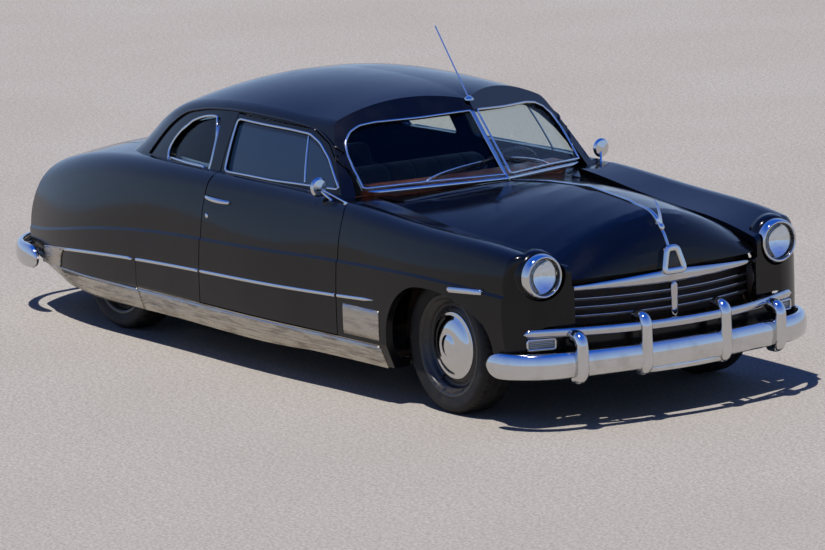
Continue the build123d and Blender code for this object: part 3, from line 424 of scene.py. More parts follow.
def on_side(tree, xs, zs, lift=0.0):
    """A path laid on the right side at the given x and z: a line from outside, along +Y, meets the panel
    there."""
    path, outward = [], []
    for x, z in zip(xs, zs):
        hit, normal = tree.ray_cast(Vector((x, -1.4, z)), Vector((0, 1, 0)))[:2]
        if hit is None:
            hit, normal = tree.find_nearest(Vector((x, -0.95, z)))[:2]
        path.append(hit)
        outward.append(normal if normal.y < 0 else -normal)
    outward = unit(np.array(outward) * (0.3, 1, 1))
    return np.array(path) + outward * lift, outward


def rounded_loop(points, radius):
    """A closed outline with each corner cut back by about a radius and bridged by a quadratic curve."""
    points = np.array(points, float)
    before, after = np.roll(points, 1, 0), np.roll(points, -1, 0)
    back = np.minimum(radius, np.linalg.norm(before - points, axis=1) * 0.45)[:, None]
    on = np.minimum(radius, np.linalg.norm(after - points, axis=1) * 0.45)[:, None]
    first, last = points + unit(before - points) * back, points + unit(after - points) * on
    t = np.linspace(0, 1, 6)[None, :, None]
    curve = first[:, None] * (1 - t) ** 2 + points[:, None] * 2 * t * (1 - t) + last[:, None] * t ** 2
    return curve.reshape(-1, 2)


def evenly(loop, step):
    """A closed outline with points at an even spacing."""
    ring = np.vstack([loop, loop[:1]])
    length = np.concatenate([[0], np.cumsum(np.linalg.norm(np.diff(ring, axis=0), axis=1))])
    at = np.linspace(0, length[-1], max(12, int(length[-1] / step)), endpoint=False)
    return np.stack([np.interp(at, length, ring[:, k]) for k in range(ring.shape[1])], 1)


BODY_SKIN = skin_of("roof", "quarter_panels", "fender_skirts", "front_fenders", "door_right",
                    "rocker_panels", "cowl")
DOOR_SKIN = skin_of("door_right")
ROOF_SKIN = skin_of("roof")


# Side mouldings

# The lower spear's height over the ground along the side, x and z in millimetres
SPEAR = np.array([(1318, 533), (665, 504), (-283, 479), (-1306, 440), (-1982, 385)], float)
SPEAR_TIP_X = 1330


def spear_height(xs):
    """The spear's height at each x, a cubic through the measured points."""
    return np.polyval(np.polyfit(SPEAR[:, 0], SPEAR[:, 1], 3), xs)


def side_spear(name, x_front, x_rear, body, tree):
    """A slim bright strip along the lower side: its section is half round, 18 mm wide and 7 mm proud, and
    tapers over 90 mm to a point at the front tip."""
    xs = np.linspace(x_front, x_rear, 70)
    path, outward = on_side(tree, xs * MM, spear_height(xs) * MM, 0.0005)
    taper = np.clip((SPEAR_TIP_X - xs) / 90, 0.12, 1)[:, None, None] * (1, 1)
    on_both_sides(name, carried(path, outward, half_round(0.018, 0.007)[None] * taper), False, CHROME, body)


side_spear("fender_spear", 1318, 1000, "car_body", BODY_SKIN)
side_spear("door_spear", 976, -282, "right_door", DOOR_SKIN)
side_spear("quarter_spear", -304, -1800, "car_body", BODY_SKIN)


def spear_end():
    """The plate that joins the spear's rear end to the rocker moulding: its front edge curves from the
    spear down to the rocker, its rear edge is upright at x -2035, and its face follows the panel, 7 mm
    proud."""
    low, rear = 300, -2035
    t = np.linspace(0, 1, 22)
    high = spear_height(-1720 - 315 * t) + 9
    rows = []
    for u in np.linspace(0, 1, 22):
        z = low + (high - low) * u
        lead = -1815 + 40 * u + 60 * (1 - math.sqrt(1 - u ** 4))
        xs = lead + (rear - lead) * t
        rows.append(on_side(BODY_SKIN, xs * MM, z * MM)[0])
    skin = np.array(rows)
    front = skin - np.array((0, 0.007, 0))
    points = np.concatenate([front, (skin + (0, 0.003, 0))[:, ::-1]], 1)
    on_both_sides("spear_end", points, False, STAINLESS, "car_body")


spear_end()


# The heights in metres between which the rocker moulding's beads are spaced
ROCKER_LOW, ROCKER_HIGH = 0.222, 0.301


def ribbed_rocker(name, x_front, x_rear):
    """A rolled rocker moulding: the panel's lower and upper edges blended, plus 4 mm, a bold bead near the
    top with a groove under it and three faint beads below, each exp(-((t - middle) / width) squared) along
    the outward direction, closed by a back inside the panel."""
    xs = np.linspace(x_front, x_rear, 80) * MM
    low = on_side(BODY_SKIN, xs, np.full(80, ROCKER_LOW))[0]
    high, outward = on_side(BODY_SKIN, xs, np.full(80, ROCKER_HIGH))
    t = np.linspace(-0.45, 1.0, 73)
    flutes = 0.004 + 0.007 * np.exp(-((t - 0.93) / 0.045) ** 2) - 0.005 * np.exp(-((t - 0.80) / 0.03) ** 2)
    for middle in (0.52, 0.28, 0.04):
        flutes = flutes + 0.003 * np.exp(-((t - middle) / 0.05) ** 2)
    skin = low[:, None] * (1 - t)[None, :, None] + high[:, None] * t[None, :, None]
    front = skin + outward[:, None] * flutes[None, :, None]
    points = np.concatenate([front, (skin - outward[:, None] * 0.004)[:, ::-1]], 1)
    on_both_sides(name, points, False, STAINLESS, "car_body")


ribbed_rocker("rocker_moulding_front", 1349, -938)
ribbed_rocker("rocker_moulding_skirt", -948, -1803)
ribbed_rocker("rocker_moulding_rear", -1813, -2100)


def gravel_panel():
    """The grooved guard plate behind the front wheel: the panel's surface plus abs(sin) grooves 14 mm
    apart, which fade out in the 8 mm next to its edges."""
    low, high = 332, 484
    xs, zs = np.linspace(1052, 1360, 155), np.linspace(low, high, 10)
    skin = np.stack([on_side(BODY_SKIN, xs * MM, np.full(len(xs), z * MM))[0] for z in zs], 1)
    edge = np.clip((zs - low) / 8, 0, 1) * np.clip((high - zs) / 8, 0, 1)
    groove = 0.002 + 0.005 * np.abs(np.sin(xs * math.pi / 14))[:, None] ** 0.6 * edge[None]
    front = skin - groove[:, :, None] * (0, 1, 0)
    points = np.concatenate([front, (skin + (0, 0.004, 0))[:, ::-1]], 1)
    on_both_sides("gravel_panel", points, False, STAINLESS, "car_body")


gravel_panel()


# Window, windshield and door trims


def window_trim(name, outline, skin, body, width, proud, corner=26):
    """Bright reveal moulding round a side window: its outline 5 mm outside the opening, laid on the
    panel."""
    loop = evenly(rounded_loop(outline, corner), 22)
    loop = loop + unit(loop - loop.mean(0)) * 5.0
    path, outward = on_side(skin, loop[:, 0] * MM, loop[:, 1] * MM)
    on_both_sides(name, carried(path, outward, half_round(width, proud), closed=True), True, CHROME, body)


window_trim("door_window_trim", DOOR_WINDOW, DOOR_SKIN, "right_door", 0.013, 0.005)
window_trim("quarter_window_trim", QUARTER_WINDOW, ROOF_SKIN, "car_body", 0.014, 0.005, corner=70)


def strip_on(name, start, end, skin, body, width, proud):
    """A straight strip between two points of the side view, laid on a surface."""
    t = np.linspace(0, 1, 24)[:, None]
    line = np.array(start) * (1 - t) + np.array(end) * t
    path, outward = on_side(skin, line[:, 0], line[:, 1], 0.0005)
    on_both_sides(name, carried(path, outward, half_round(width, proud)), False, CHROME, body)


strip_on("vent_bar", (0.452, 0.992), (0.356, 1.238), skin_of("door_glass_right"), "right_door", 0.013, 0.006)
strip_on("fender_badge", (1.945, 0.665), (2.186, 0.678), BODY_SKIN, "car_body", 0.030, 0.012)


def drip_rail():
    """The rain gutter: a slim bar under the roof's edge that runs down both pillars, through the measured
    points of the side view, with each point three times made the mean of its five neighbours. Points that
    the roof's edge brings together are left out."""
    known = np.array([(0.862, 0.985), (0.800, 1.056), (0.720, 1.128), (0.600, 1.212), (0.460, 1.266),
                      (0.200, 1.284), (-0.100, 1.289), (-0.347, 1.286), (-0.600, 1.268), (-0.839, 1.226),
                      (-0.980, 1.140), (-1.060, 1.040), (-1.095, 0.985)])
    at = np.concatenate([[0], np.cumsum(np.linalg.norm(np.diff(known, axis=0), axis=1))])
    t = np.linspace(0, at[-1], 110)
    line = np.stack([np.interp(t, at, known[:, k]) for k in (0, 1)], 1)
    for _ in range(3):
        line[2:-2] = (line[:-4] + line[1:-3] + line[2:-2] + line[3:-1] + line[4:]) / 5
    path, outward = on_side(ROOF_SKIN, line[:, 0], line[:, 1], 0.001)
    moved = np.concatenate([[True], np.linalg.norm(np.diff(path, axis=0), axis=1) > 0.001])
    path, outward = path[moved], outward[moved]
    section = np.array([(0.004, -0.003), (-0.004, -0.003), (-0.005, 0.007), (-0.002, 0.010), (0.004, 0.008)])
    on_both_sides("drip_rail", carried(path, outward, section), False, ENAMEL, "car_body")


drip_rail()


def pane_frame(side):
    """One windshield pane's foot at the centre post, its lower outer corner, and its directions up and
    out."""
    foot, head, corner = np.array(GLASS_FOOT), np.array(GLASS_HEAD), np.array(GLASS_CORNER) * (1, -side, 1)
    up = unit(head - foot)
    out = unit(np.cross(up, corner - foot))
    return foot, corner, up, out if out[0] > 0 else -out


def windshield_trim(side, label):
    """The bright edge of one pane: the pane's outline in its own plane, 6 mm in from its farthest points,
    with a half-round bar carried round it."""
    place = mesh_points(NODES["windshield"].data)
    place = place[place[:, 1] * side > 0.004]
    foot, _, up, out = pane_frame(side)
    right = np.cross(out, up)
    flat = np.stack([(place - foot) @ right, (place - foot) @ up], 1)
    middle = (flat.max(0) + flat.min(0)) / 2
    sector = np.floor((np.arctan2(*(flat - middle).T[::-1]) / (2 * math.pi) + 0.5) * 140).astype(int)
    reach = np.linalg.norm(flat - middle, axis=1)
    rim = np.array([flat[sector == k][np.argmax(reach[sector == k])] for k in np.unique(sector)])
    loop = evenly(rim, 0.02)
    loop = loop + unit(middle - loop) * 0.006
    path = foot + loop[:, :1] * right + loop[:, 1:] * up + out * 0.004
    points = carried(path, np.repeat(out[None], len(path), 0), half_round(0.012, 0.006), closed=True)
    place_piece("windshield_trim_" + label, points, outward_tube(points, True), CHROME, "car_body")


windshield_trim(-1, "right")
windshield_trim(1, "left")


def round_bar(path, radius, sides=12):
    """A bar along a path whose radius may change from point to point."""
    angle = np.linspace(0, 2 * math.pi, sides, endpoint=False)
    radius = np.broadcast_to(radius, len(path))
    ring = np.stack([np.cos(angle), np.sin(angle)], 1)[None] * radius[:, None, None]
    return carried(path, np.repeat([[0.05, -0.2, 1.0]], len(path), 0), ring)


def door_handle():
    """Pull handle: a bowed bar that rises 30 mm from the door on an arc of sin to the power 0.45, on x
    -50..-272."""
    t = np.linspace(0, 1, 30)
    xs = -0.272 + 0.222 * t
    skin = on_side(DOOR_SKIN, xs, np.full(30, 0.865))[0]
    y = skin[:, 1] + 0.004 - 0.030 * np.sin(math.pi * np.clip(t, 0.002, 0.998)) ** 0.45
    path = np.stack([xs, y, 0.868 - 0.008 * t], 1)
    on_both_sides("door_handle", round_bar(path, 0.010 + 0.003 * np.sin(math.pi * t)), False, CHROME,
                  "right_door")


door_handle()


def turned_rings(centre, outline, axis=(0, -1, 0), around=64):
    """A form turned about an axis: each outline pair is the distance along the axis and the radius."""
    outline, axis = np.array(outline, float), unit(np.array(axis, float))
    side = unit(np.cross(axis, (0, 0, 1) if abs(axis[2]) < 0.9 else (1, 0, 0)))
    other = np.cross(axis, side)
    angle = np.linspace(0, 2 * math.pi, around, endpoint=False)
    spokes = np.cos(angle)[None, :, None] * side + np.sin(angle)[None, :, None] * other
    return np.array(centre) + outline[:, :1, None] * axis + outline[:, 1:, None] * spokes


def door_lock():
    """The key button behind the handle: a small turned disc, 26 mm across."""
    place = on_side(DOOR_SKIN, [-0.245], [0.772])[0][0]
    points = turned_rings(place, [(-0.004, 0.013), (0.002, 0.013), (0.005, 0.010), (0.006, 0.001)], around=24)
    on_both_sides("door_lock", points, False, CHROME, "right_door")


door_lock()


def mirror_arm():
    """The right mirror's thin arm, 9 mm thick, to its round foot on the door's top."""
    t = np.linspace(0, 1, 16)[:, None]
    path = np.array((0.752, -0.884, 1.020)) * (1 - t) + np.array((0.938, -0.858, 0.968)) * t
    arm = round_bar(path, 0.0045 * rounded_ends(path, 0.006))
    place_piece("mirror_arm", arm, outward_tube(arm), CHROME, "right_door")
    outline = [(0, 0.012), (0.012, 0.011), (0.019, 0.006), (0.020, 0.001)]
    foot = turned_rings((0.938, -0.858, 0.955), outline, (0.1, -0.3, 1.0), 24)
    place_piece("mirror_foot", foot, outward_tube(foot), CHROME, "right_door")


mirror_arm()


def wiper(side, label):
    """A wiper on the cowl: a thin arm from its pivot up the pane and a blade along it, each a tapered
    bar."""
    foot, corner, up, out = pane_frame(side)
    along = unit(corner - foot)
    pivot = foot + along * 0.42 + up * 0.012 + out * 0.004
    elbow = pivot + up * 0.04 - along * 0.05 + out * 0.012
    tip = foot + along * 0.10 + up * 0.10 + out * 0.006
    t = np.linspace(0, 1, 16)[:, None]
    path = pivot * (1 - t) ** 2 + elbow * 2 * t * (1 - t) + tip * t ** 2
    points = round_bar(path, np.linspace(0.006, 0.003, 16), 8)
    place_piece("wiper_arm_" + label, points, outward_tube(points), CHROME, "car_body")
    ends = foot + along * 0.36 + up * 0.035 - out * 0.001, foot + along * 0.035 + up * 0.115 - out * 0.001
    path = ends[0] * (1 - t) + ends[1] * t
    points = round_bar(path, 0.005 * np.sin(math.pi * np.clip(t[:, 0], 0.06, 0.94)) ** 0.3, 8)
    place_piece("wiper_blade_" + label, points, outward_tube(points), PHENOLIC, "car_body")


wiper(-1, "right")
wiper(1, "left")


# Front end


def bowed(middle_x, tip_x, tip_y, ys):
    """The x of a bar that bows forward: a circle through its middle and its two tips."""
    sagitta = middle_x - tip_x
    radius = (tip_y ** 2 + sagitta ** 2) / (2 * sagitta)
    return middle_x - radius + np.sqrt(radius ** 2 - ys ** 2)


def bar_section(half, depth, back):
    """A bar's section for a front that stands depth proud, over a back that far behind."""
    angle = np.linspace(0, math.pi, 11)
    arc = np.stack([-np.cos(angle) * half, np.sin(angle) ** 0.7 * depth], 1)
    return np.vstack([[half, -back], [-half, -back], arc])


def level_bar(name, path, half, depth, back, finish, replaces, body="car_body", end=0.02, raised=None):
    """A bar carried along a path with its face outward and its half height, a number or one per point,
    closed at both ends by a quarter ellipse."""
    path = np.asarray(path, float)
    outward = path * (1, 1, 0) - np.array((path[:, 0].mean() - 1.5 * np.sign(path[:, 0].mean()), 0, 0))
    outward = unit(outward if raised is None else np.broadcast_to(raised, path.shape))
    scale = rounded_ends(path, end) * np.broadcast_to(half, len(path))
    ring = bar_section(1.0, 1.0, 1.0)[None] * np.stack([scale, np.broadcast_to(depth, len(path))], 1)[:, None]
    ring = np.where(ring[:, :, 1:] < 0, ring * (1, 0) + (0, -back), ring)
    points = carried(path, outward, ring)
    place_piece(name, points, outward_tube(points), finish, body, replaces=replaces)


def tip_dense(tip, count):
    """Distances across the car that crowd towards both tips: tip times sin."""
    return tip * np.sin(np.linspace(-math.pi / 2, math.pi / 2, count))


def grille():
    """The grille: a top bar that is 70 mm high in the middle and 30 at its rounded tips, three bars in dark
    wheel enamel as painted shade, with a bright bead along each top edge, a flat centre post, and a dark sheet
    behind as painted shade."""
    ys = tip_dense(0.562, 101)
    share = np.abs(ys) / 0.562
    path = np.stack([bowed(2.515, 2.415, 0.562, ys), ys, 0.690 - 0.008 * share], 1)
    level_bar("dressed_top_bar", path, 0.035 - 0.020 * share, 0.020, 0.020, GRILLE_CHROME,
              ["grille_top_bar"])
    for number, z in enumerate((0.533, 0.575, 0.617)):
        ys = tip_dense(0.541, 61)
        path = np.stack([bowed(2.520, 2.398, 0.541, ys), ys, 0 * ys + z], 1)
        # The bars are chrome but get the dark wheel enamel: painted shade for the shadow they sit in.
        level_bar(f"grille_bar_painted_shade_{number}", path, 0.0075, 0.008, 0.012, WHEEL, ["grille"])
        level_bar(f"grille_bead_{number}", path + (0.001, 0, 0.0075), 0.0032, 0.007, 0.004, GRILLE_CHROME,
                  ["grille"])
    zs = np.linspace(0.486, 0.664, 12)
    post = np.stack([0 * zs + 2.526, 0 * zs, zs], 1)
    level_bar("grille_post", post, 0.020, 0.010, 0.014, GRILLE_CHROME, ["grille"],
              raised=(1, 0, 0), end=0.002)
    # A dark sheet behind the bars: painted shade for the shadowed grille opening.
    ys = np.linspace(-0.553, 0.553, 41)
    path = np.stack([bowed(2.462, 2.352, 0.553, ys), ys, 0 * ys + 0.600], 1)
    path = np.vstack([[(2.45, -0.5545, 0.6), (2.40, -0.5540, 0.6)], path,
                      [(2.40, 0.5540, 0.6), (2.45, 0.5545, 0.6)]])
    level_bar("grille_painted_shade_sheet", path, 0.118, 0.001, 0.003, CHASSIS, ["grille"], end=0.001)


grille()


def lower_bar():
    """The lowest bar: it follows the nose at 483 mm from wing to wing. Lines towards the car's middle meet
    the panels, the distances are smoothed over nine directions, and the face stands 20 mm proud."""
    nose = skin_of("front_fenders", "front_panel", "lower_bar")
    middle_x, height = 1.9, 0.483
    middle = Vector((middle_x, 0, height))
    turn = np.radians(np.linspace(-59, 59, 121))
    reach = []
    for angle in turn:
        away = Vector((math.cos(angle), math.sin(angle), 0))
        hit = nose.ray_cast(middle + away * 1.4, -away)[0]
        reach.append((hit - middle).length)
    padded = np.pad(reach, 4, mode="edge")
    smooth = np.convolve(padded, np.ones(9) / 9, mode="valid")
    smooth = np.maximum(smooth, np.array(reach) - 0.004)
    path = np.stack([middle_x + np.cos(turn) * smooth, np.sin(turn) * smooth, height + 0 * turn], 1)
    level_bar("dressed_lower_bar", path, 0.022, 0.016, 0.014, GRILLE_CHROME, ["lower_bar"],
              end=0.03)


lower_bar()


def parking_lamp():
    """The oblong lamp under the lower bar's end: a bright half-round frame of 152 by 56 mm and a shallow
    domed lens on the fender, set along its surface."""
    along, outward = np.array((0.281, 0.960, 0)), np.array((0.960, -0.281, 0))
    middle = np.array((2.421, -0.734, 0.429))
    loop = evenly(rounded_loop([(-72, -24), (72, -24), (72, 24), (-72, 24)], 9), 8) * MM
    path = middle + loop[:, :1] * along + loop[:, 1:] * np.array((0, 0, 1.0)) + outward * 0.004
    points = carried(path, np.repeat(outward[None], len(path), 0), bar_section(0.007, 0.012, 0.014),
                     closed=True)
    on_both_sides("parking_lamp_frame", points, True, CHROME, "car_body", replaces=["parking_lamps"])
    t = np.linspace(-0.066, 0.066, 21)[:, None]
    path = middle + along * t + outward * 0.002
    points = carried(path, np.repeat(outward[None], 21, 0), bar_section(0.019, 0.005, 0.010))
    on_both_sides("parking_lamp_lens", points, False, PARKING_LENS, "car_body",
                  replaces=["parking_lamps"])


parking_lamp()


def headlamp():
    """A sealed-beam lamp: a silvered bowl and a thin fluted front glass, whose depths change with the
    square of the radius, in a rubber gasket, a chrome bezel and a painted bucket, each a turned ring."""
    for name, radius, middle, rise, thick, finish, slot in (
        ("bowl", LENS_R - 0.004, -0.034, 0.046, 0.003, SILVER, "chrome"),
        ("glass", LENS_R - 0.001, 0.042, -0.018, 0.004, LENS, "lens_clear"),
    ):
        rs = np.linspace(0.001, radius, 20)
        front = np.stack([middle + rise * (rs / LENS_R) ** 2, rs], 1)
        points = turned_rings(HEADLAMP, np.vstack([front, front[::-1] - (thick, 0)]), axis=(1, 0, 0),
                              around=72)
        on_both_sides("headlamp_" + name, points, False, finish, "car_body", ["headlamp_lenses"])
    for name, ring, finish, slot in (
        ("gasket", [(0.034, -0.005), (0.037, 0), (0.020, 0.002), (0.018, -0.005)], PHENOLIC, "hard_rubber"),
        ("bezel", [(0.020, -0.001), (0.038, 0), (0.043, 0.003), (0.042, 0.008), (0.034, 0.014),
                   (0.016, 0.019), (-0.020, 0.021), (-0.060, 0.021), (-0.060, 0)], CHROME, "chrome"),
        ("bucket", [(-0.002, 0.021), (-0.004, 0.025), (-0.016, 0.031), (-0.034, 0.036), (-0.060, 0.038),
                    (-0.060, 0.021)], ENAMEL, "black_paint"),
    ):
        ring = np.array(ring) + (0, LENS_R)
        points = turned_rings(HEADLAMP, ring, axis=(1, 0, 0), around=72).transpose(1, 0, 2)
        on_both_sides("headlamp_" + name, points, True, finish, "car_body",
                      replaces=["headlamp_bezels"])


headlamp()


# The bumpers' foremost x, and how far their wide circle has swept back at a distance across, in metres
BUMPER_X, BUMPER_SWEEP, BUMPER_SWEEP_Y = 2.613, 0.082, 0.700
GUARD_X = 2.646


def bumper_path(corner_y, tip, z, sign):
    """The bumper's run: a wide circle up to the corner, then a circle that leaves it smoothly and ends at
    the tip, mirrored for the other side."""
    radius = (BUMPER_SWEEP_Y ** 2 + BUMPER_SWEEP ** 2) / (2 * BUMPER_SWEEP)
    lean = math.asin(corner_y / radius)
    a = np.linspace(0, lean, 24, endpoint=False)
    face = np.stack([BUMPER_X - radius + radius * np.cos(a), radius * np.sin(a)], 1)
    corner = np.array((BUMPER_X - radius + radius * math.cos(lean), corner_y))
    chord = np.array(tip) - corner
    swing = math.acos(float(chord @ (-math.sin(lean), math.cos(lean))) / np.linalg.norm(chord))
    small = np.linalg.norm(chord) / (2 * math.sin(swing))
    centre = corner - small * np.array((math.cos(lean), math.sin(lean)))
    crowded = 0.9 + 0.1 * np.sin(np.linspace(0, math.pi / 2, 14))
    b = lean + 2 * swing * np.concatenate([np.linspace(0, 0.9, 24, endpoint=False), crowded])
    half = np.vstack([face, centre + small * np.stack([np.cos(b), np.sin(b)], 1)])
    whole = np.vstack([half[:0:-1] * (1, -1), half])
    return np.column_stack([whole[:, 0] * sign, whole[:, 1], np.full(len(whole), z)])


def dressed_bumper(name, path, sign, node):
    """A bumper bar: a face 130 mm high that bulges 34 mm, rolled lips and rounded tips, with a hollow
    behind."""
    outward = unit(np.cross(np.gradient(path, axis=0), (0, 0, 1.0))) * sign
    angle = np.linspace(0, math.pi, 25)
    face = np.stack([-np.cos(angle) * 0.065, np.sin(angle) ** 0.8 * 0.034 - 0.006], 1)
    lip = [(0.065, -0.014), (0.058, -0.016), (0.058, -0.008), (0.040, 0.012)]
    lips = np.array(lip + [(0, 0.020)] + [(-u, v) for u, v in lip[::-1]])
    scale = rounded_ends(path, 0.085)
    ring = np.vstack([face, lips])[None] * np.stack([scale, 0.35 + 0.65 * scale], 1)[:, None]
    points = carried(path, outward, ring)
    place_piece(name, points, outward_tube(points), BUMPER_CHROME, "car_body", replaces=[node])


def bumper_guard(name, face_x, y, low, high, sign, node):
    """A guard: a capsule-shaped bar, 66 mm wide, whose path rises in front of the bumper and curls back at
    both ends as a quarter circle, with a domed face."""
    turn = np.linspace(0, math.pi / 2, 10)
    roll = 0.045
    low, high = low + 0.026, high - 0.026
    lower = np.stack([face_x - 0.030 - roll + roll * np.sin(turn), low + roll - roll * np.cos(turn)], 1)
    upper = np.stack([face_x - 0.030 - roll + roll * np.cos(turn), high - roll + roll * np.sin(turn)], 1)
    zs = np.linspace(low + roll, high - roll, 16)[1:-1]
    face = np.stack([face_x - 0.030 + 0 * zs, zs], 1)
    line = np.vstack([[[face_x - 0.105, low]], lower, face, upper, [[face_x - 0.105, high]]])
    path = np.stack([line[:, 0] * sign, 0 * line[:, 0] + y, line[:, 1]], 1)
    tangent = unit(np.gradient(path, axis=0))
    outward = unit(np.cross((0, 1.0, 0), tangent))
    outward = outward * np.where((outward * (sign, 0, 0)).sum(1).mean() > 0, 1, -1)
    angle = np.linspace(0, 2 * math.pi, 24, endpoint=False)
    rise = np.sin(angle)
    ring = np.stack([np.cos(angle) * 0.033, rise * np.where(rise > 0, 0.030, 0.042)], 1)
    points = carried(path, outward, ring)
    place_piece(name, points, outward_tube(points), BUMPER_CHROME, "car_body", replaces=[node])


def bumpers():
    """Both bumpers with their guards, the brackets to the frame and the low tie bar between the inner front
    guards."""
    dressed_bumper("dressed_front_bumper", bumper_path(0.70, (2.240, 0.925), 0.332, 1), 1, "front_bumper")
    dressed_bumper("dressed_rear_bumper", bumper_path(0.52, (2.060, 0.900), 0.318, -1), -1, "rear_bumper")
    for label, side in (("right", -1), ("left", 1)):
        bumper_guard("inner_guard_" + label, GUARD_X, side * 0.242, 0.234, 0.551, 1, "front_bumper")
        bumper_guard("outer_guard_" + label, 2.614, side * 0.605, 0.234, 0.495, 1, "front_bumper")
        bumper_guard("rear_guard_" + label, GUARD_X, side * 0.340, 0.250, 0.500, -1, "rear_bumper")
        for sign, z, end in ((1, 0.310, "front"), (-1, 0.290, "rear")):
            path = [(sign * x, side * 0.390, z) for x in np.linspace(2.30, 2.606, 8)]
            level_bar(f"bumper_bracket_{end}_{label}", path, 0.020, 0.006, 0.006, CHASSIS,
                      [end + "_bumper"], raised=(0, side, 0), end=0.002)
    ys = np.linspace(-0.235, 0.235, 31)
    path = np.stack([2.600 + 0.018 * (1 - (ys / 0.235) ** 2), ys, 0.262 + 0 * ys], 1)
    level_bar("bumper_tie", path, 0.016, 0.008, 0.008, BUMPER_CHROME, ["front_bumper"])


bumpers()


def badge_housing():
    """The triangular housing at the hood's foot, left bare: a rounded outline, wide below and narrow above,
    on a face that leans back with the hood, with a raised frame round a recessed field."""
    across, up = np.array((0, 1.0, 0)), unit(np.array((-0.16, 0, 1.0)))
    outward = np.cross(across, up)
    foot = np.array((2.536, 0, 0.722))
    loop = evenly(rounded_loop([(-62, -6), (62, -6), (30, 106), (-30, 106)], 24), 5) * MM
    path = foot + loop[:, :1] * across + loop[:, 1:] * up - outward * 0.004
    points = carried(path, np.repeat(outward[None], len(path), 0), bar_section(0.017, 0.014, 0.040),
                     closed=True)
    place_piece("badge_frame", points, outward_tube(points, True), CHROME, "hood",
                replaces=["hood_ornament"])
    rows = []
    for scale, depth in ((0.85, 0.050), (0.85, 0.004), (0.5, 0.001), (0.01, 0.000)):
        flat = loop * scale + (0, 0.048 * (1 - scale))
        rows.append(foot + flat[:, :1] * across + flat[:, 1:] * up - outward * depth)
    points = np.array(rows)
    place_piece("badge_field", points, outward_tube(points), PHENOLIC, "hood",
                replaces=["hood_ornament"])


badge_housing()


def ornament():
    """The hood ornament, a thin fin that rises and sweeps back over a drop-shaped base, both bars of
    changing radius along quadratic curves, and the slim strip along the hood's ridge, whose height is the
    hood's own."""
    hood = skin_of("hood")

    def ridge(x):
        """The hood's height at its middle."""
        return hood.ray_cast(Vector((x, 0.002, 1.6)), Vector((0, 0, -1)))[0].z

    t = np.linspace(0, 1, 24)[:, None]
    front, middle, rear = 2.445, 2.400, 2.300
    for name, a, b, c, thick, thin in (
        ("fin", (2.430, 0, ridge(front)), (2.436, 0, 1.000), (2.380, 0, 1.052), 0.011, 0.004),
        ("base", (front, 0, ridge(front) + 0.002), (middle, 0, ridge(middle) + 0.016),
         (rear, 0, ridge(rear) + 0.003), 0.018, 0.006),
    ):
        path = np.array(a) * (1 - t) ** 2 + np.array(b) * 2 * t * (1 - t) + np.array(c) * t ** 2
        points = round_bar(path, (thick + (thin - thick) * t[:, 0]) * rounded_ends(path, 0.02), 16)
        place_piece("ornament_" + name, points, outward_tube(points), CHROME, "hood",
                    replaces=["hood_ornament"])
    xs = np.concatenate([np.linspace(2.50, 2.41, 12), np.linspace(2.40, 1.20, 60)])
    path = [(x, 0, ridge(x)) for x in xs]
    level_bar("ridge_strip", path, 0.008, 0.004, 0.003, CHROME, ["hood_ornament"], body="hood",
              raised=(0, 0, 1.0))


ornament()


# Wheels


def dressed_tyre(name, x, y, body):
    """A tyre with sidewall rings and a tread of three zigzag grooves and shoulder blocks. The radius at a
    profile point is the carcass radius less the groove depth at that angle and width."""
    carcass = np.array([(-0.076, 0.2385), (-0.088, 0.262), (-0.0955, 0.280), (-0.0992, 0.296), (-0.1, 0.303),
                        (-0.0982, 0.314), (-0.091, 0.3245), (-0.082, 0.331), (-0.074, 0.336)])
    tread = np.stack([np.linspace(-0.070, 0.070, 43), np.full(43, 0.3402)], 1)
    tread[:, 1] -= 0.0022 * (tread[:, 0] / 0.070) ** 2
    outline = np.vstack([carcass, tread, carcass[::-1] * (-1, 1)])
    angle = np.linspace(0, 2 * math.pi, 360, endpoint=False)[None]
    across, radius = np.broadcast_to(outline[:, :1], (len(outline), 360)), outline[:, 1:] + 0 * angle
    zigzag = 0.004 * np.abs((angle * 30 / math.pi) % 2 - 1) - 0.002
    for line in (-0.040, 0.0, 0.040):
        radius = radius - 0.006 * ((np.abs(across - line - zigzag) < 0.0035) & (np.abs(across) < 0.071))
    shoulder = (np.abs(across) > 0.052) & (np.abs(across) < 0.080)
    radius = radius - 0.004 * ((np.sin(angle * 60) > 0.55) & shoulder)
    points = np.stack([x + np.cos(angle) * radius, y + across, TYRE_R + np.sin(angle) * radius], 2)
    points = points.transpose(1, 0, 2)
    rows, columns = points.shape[:2]
    faces = grid_faces(rows, columns, True, True, flip=True)
    place_piece(name, points, faces, RUBBER, body, replaces=["tyre_" + name[len("dressed_tyre_"):]])


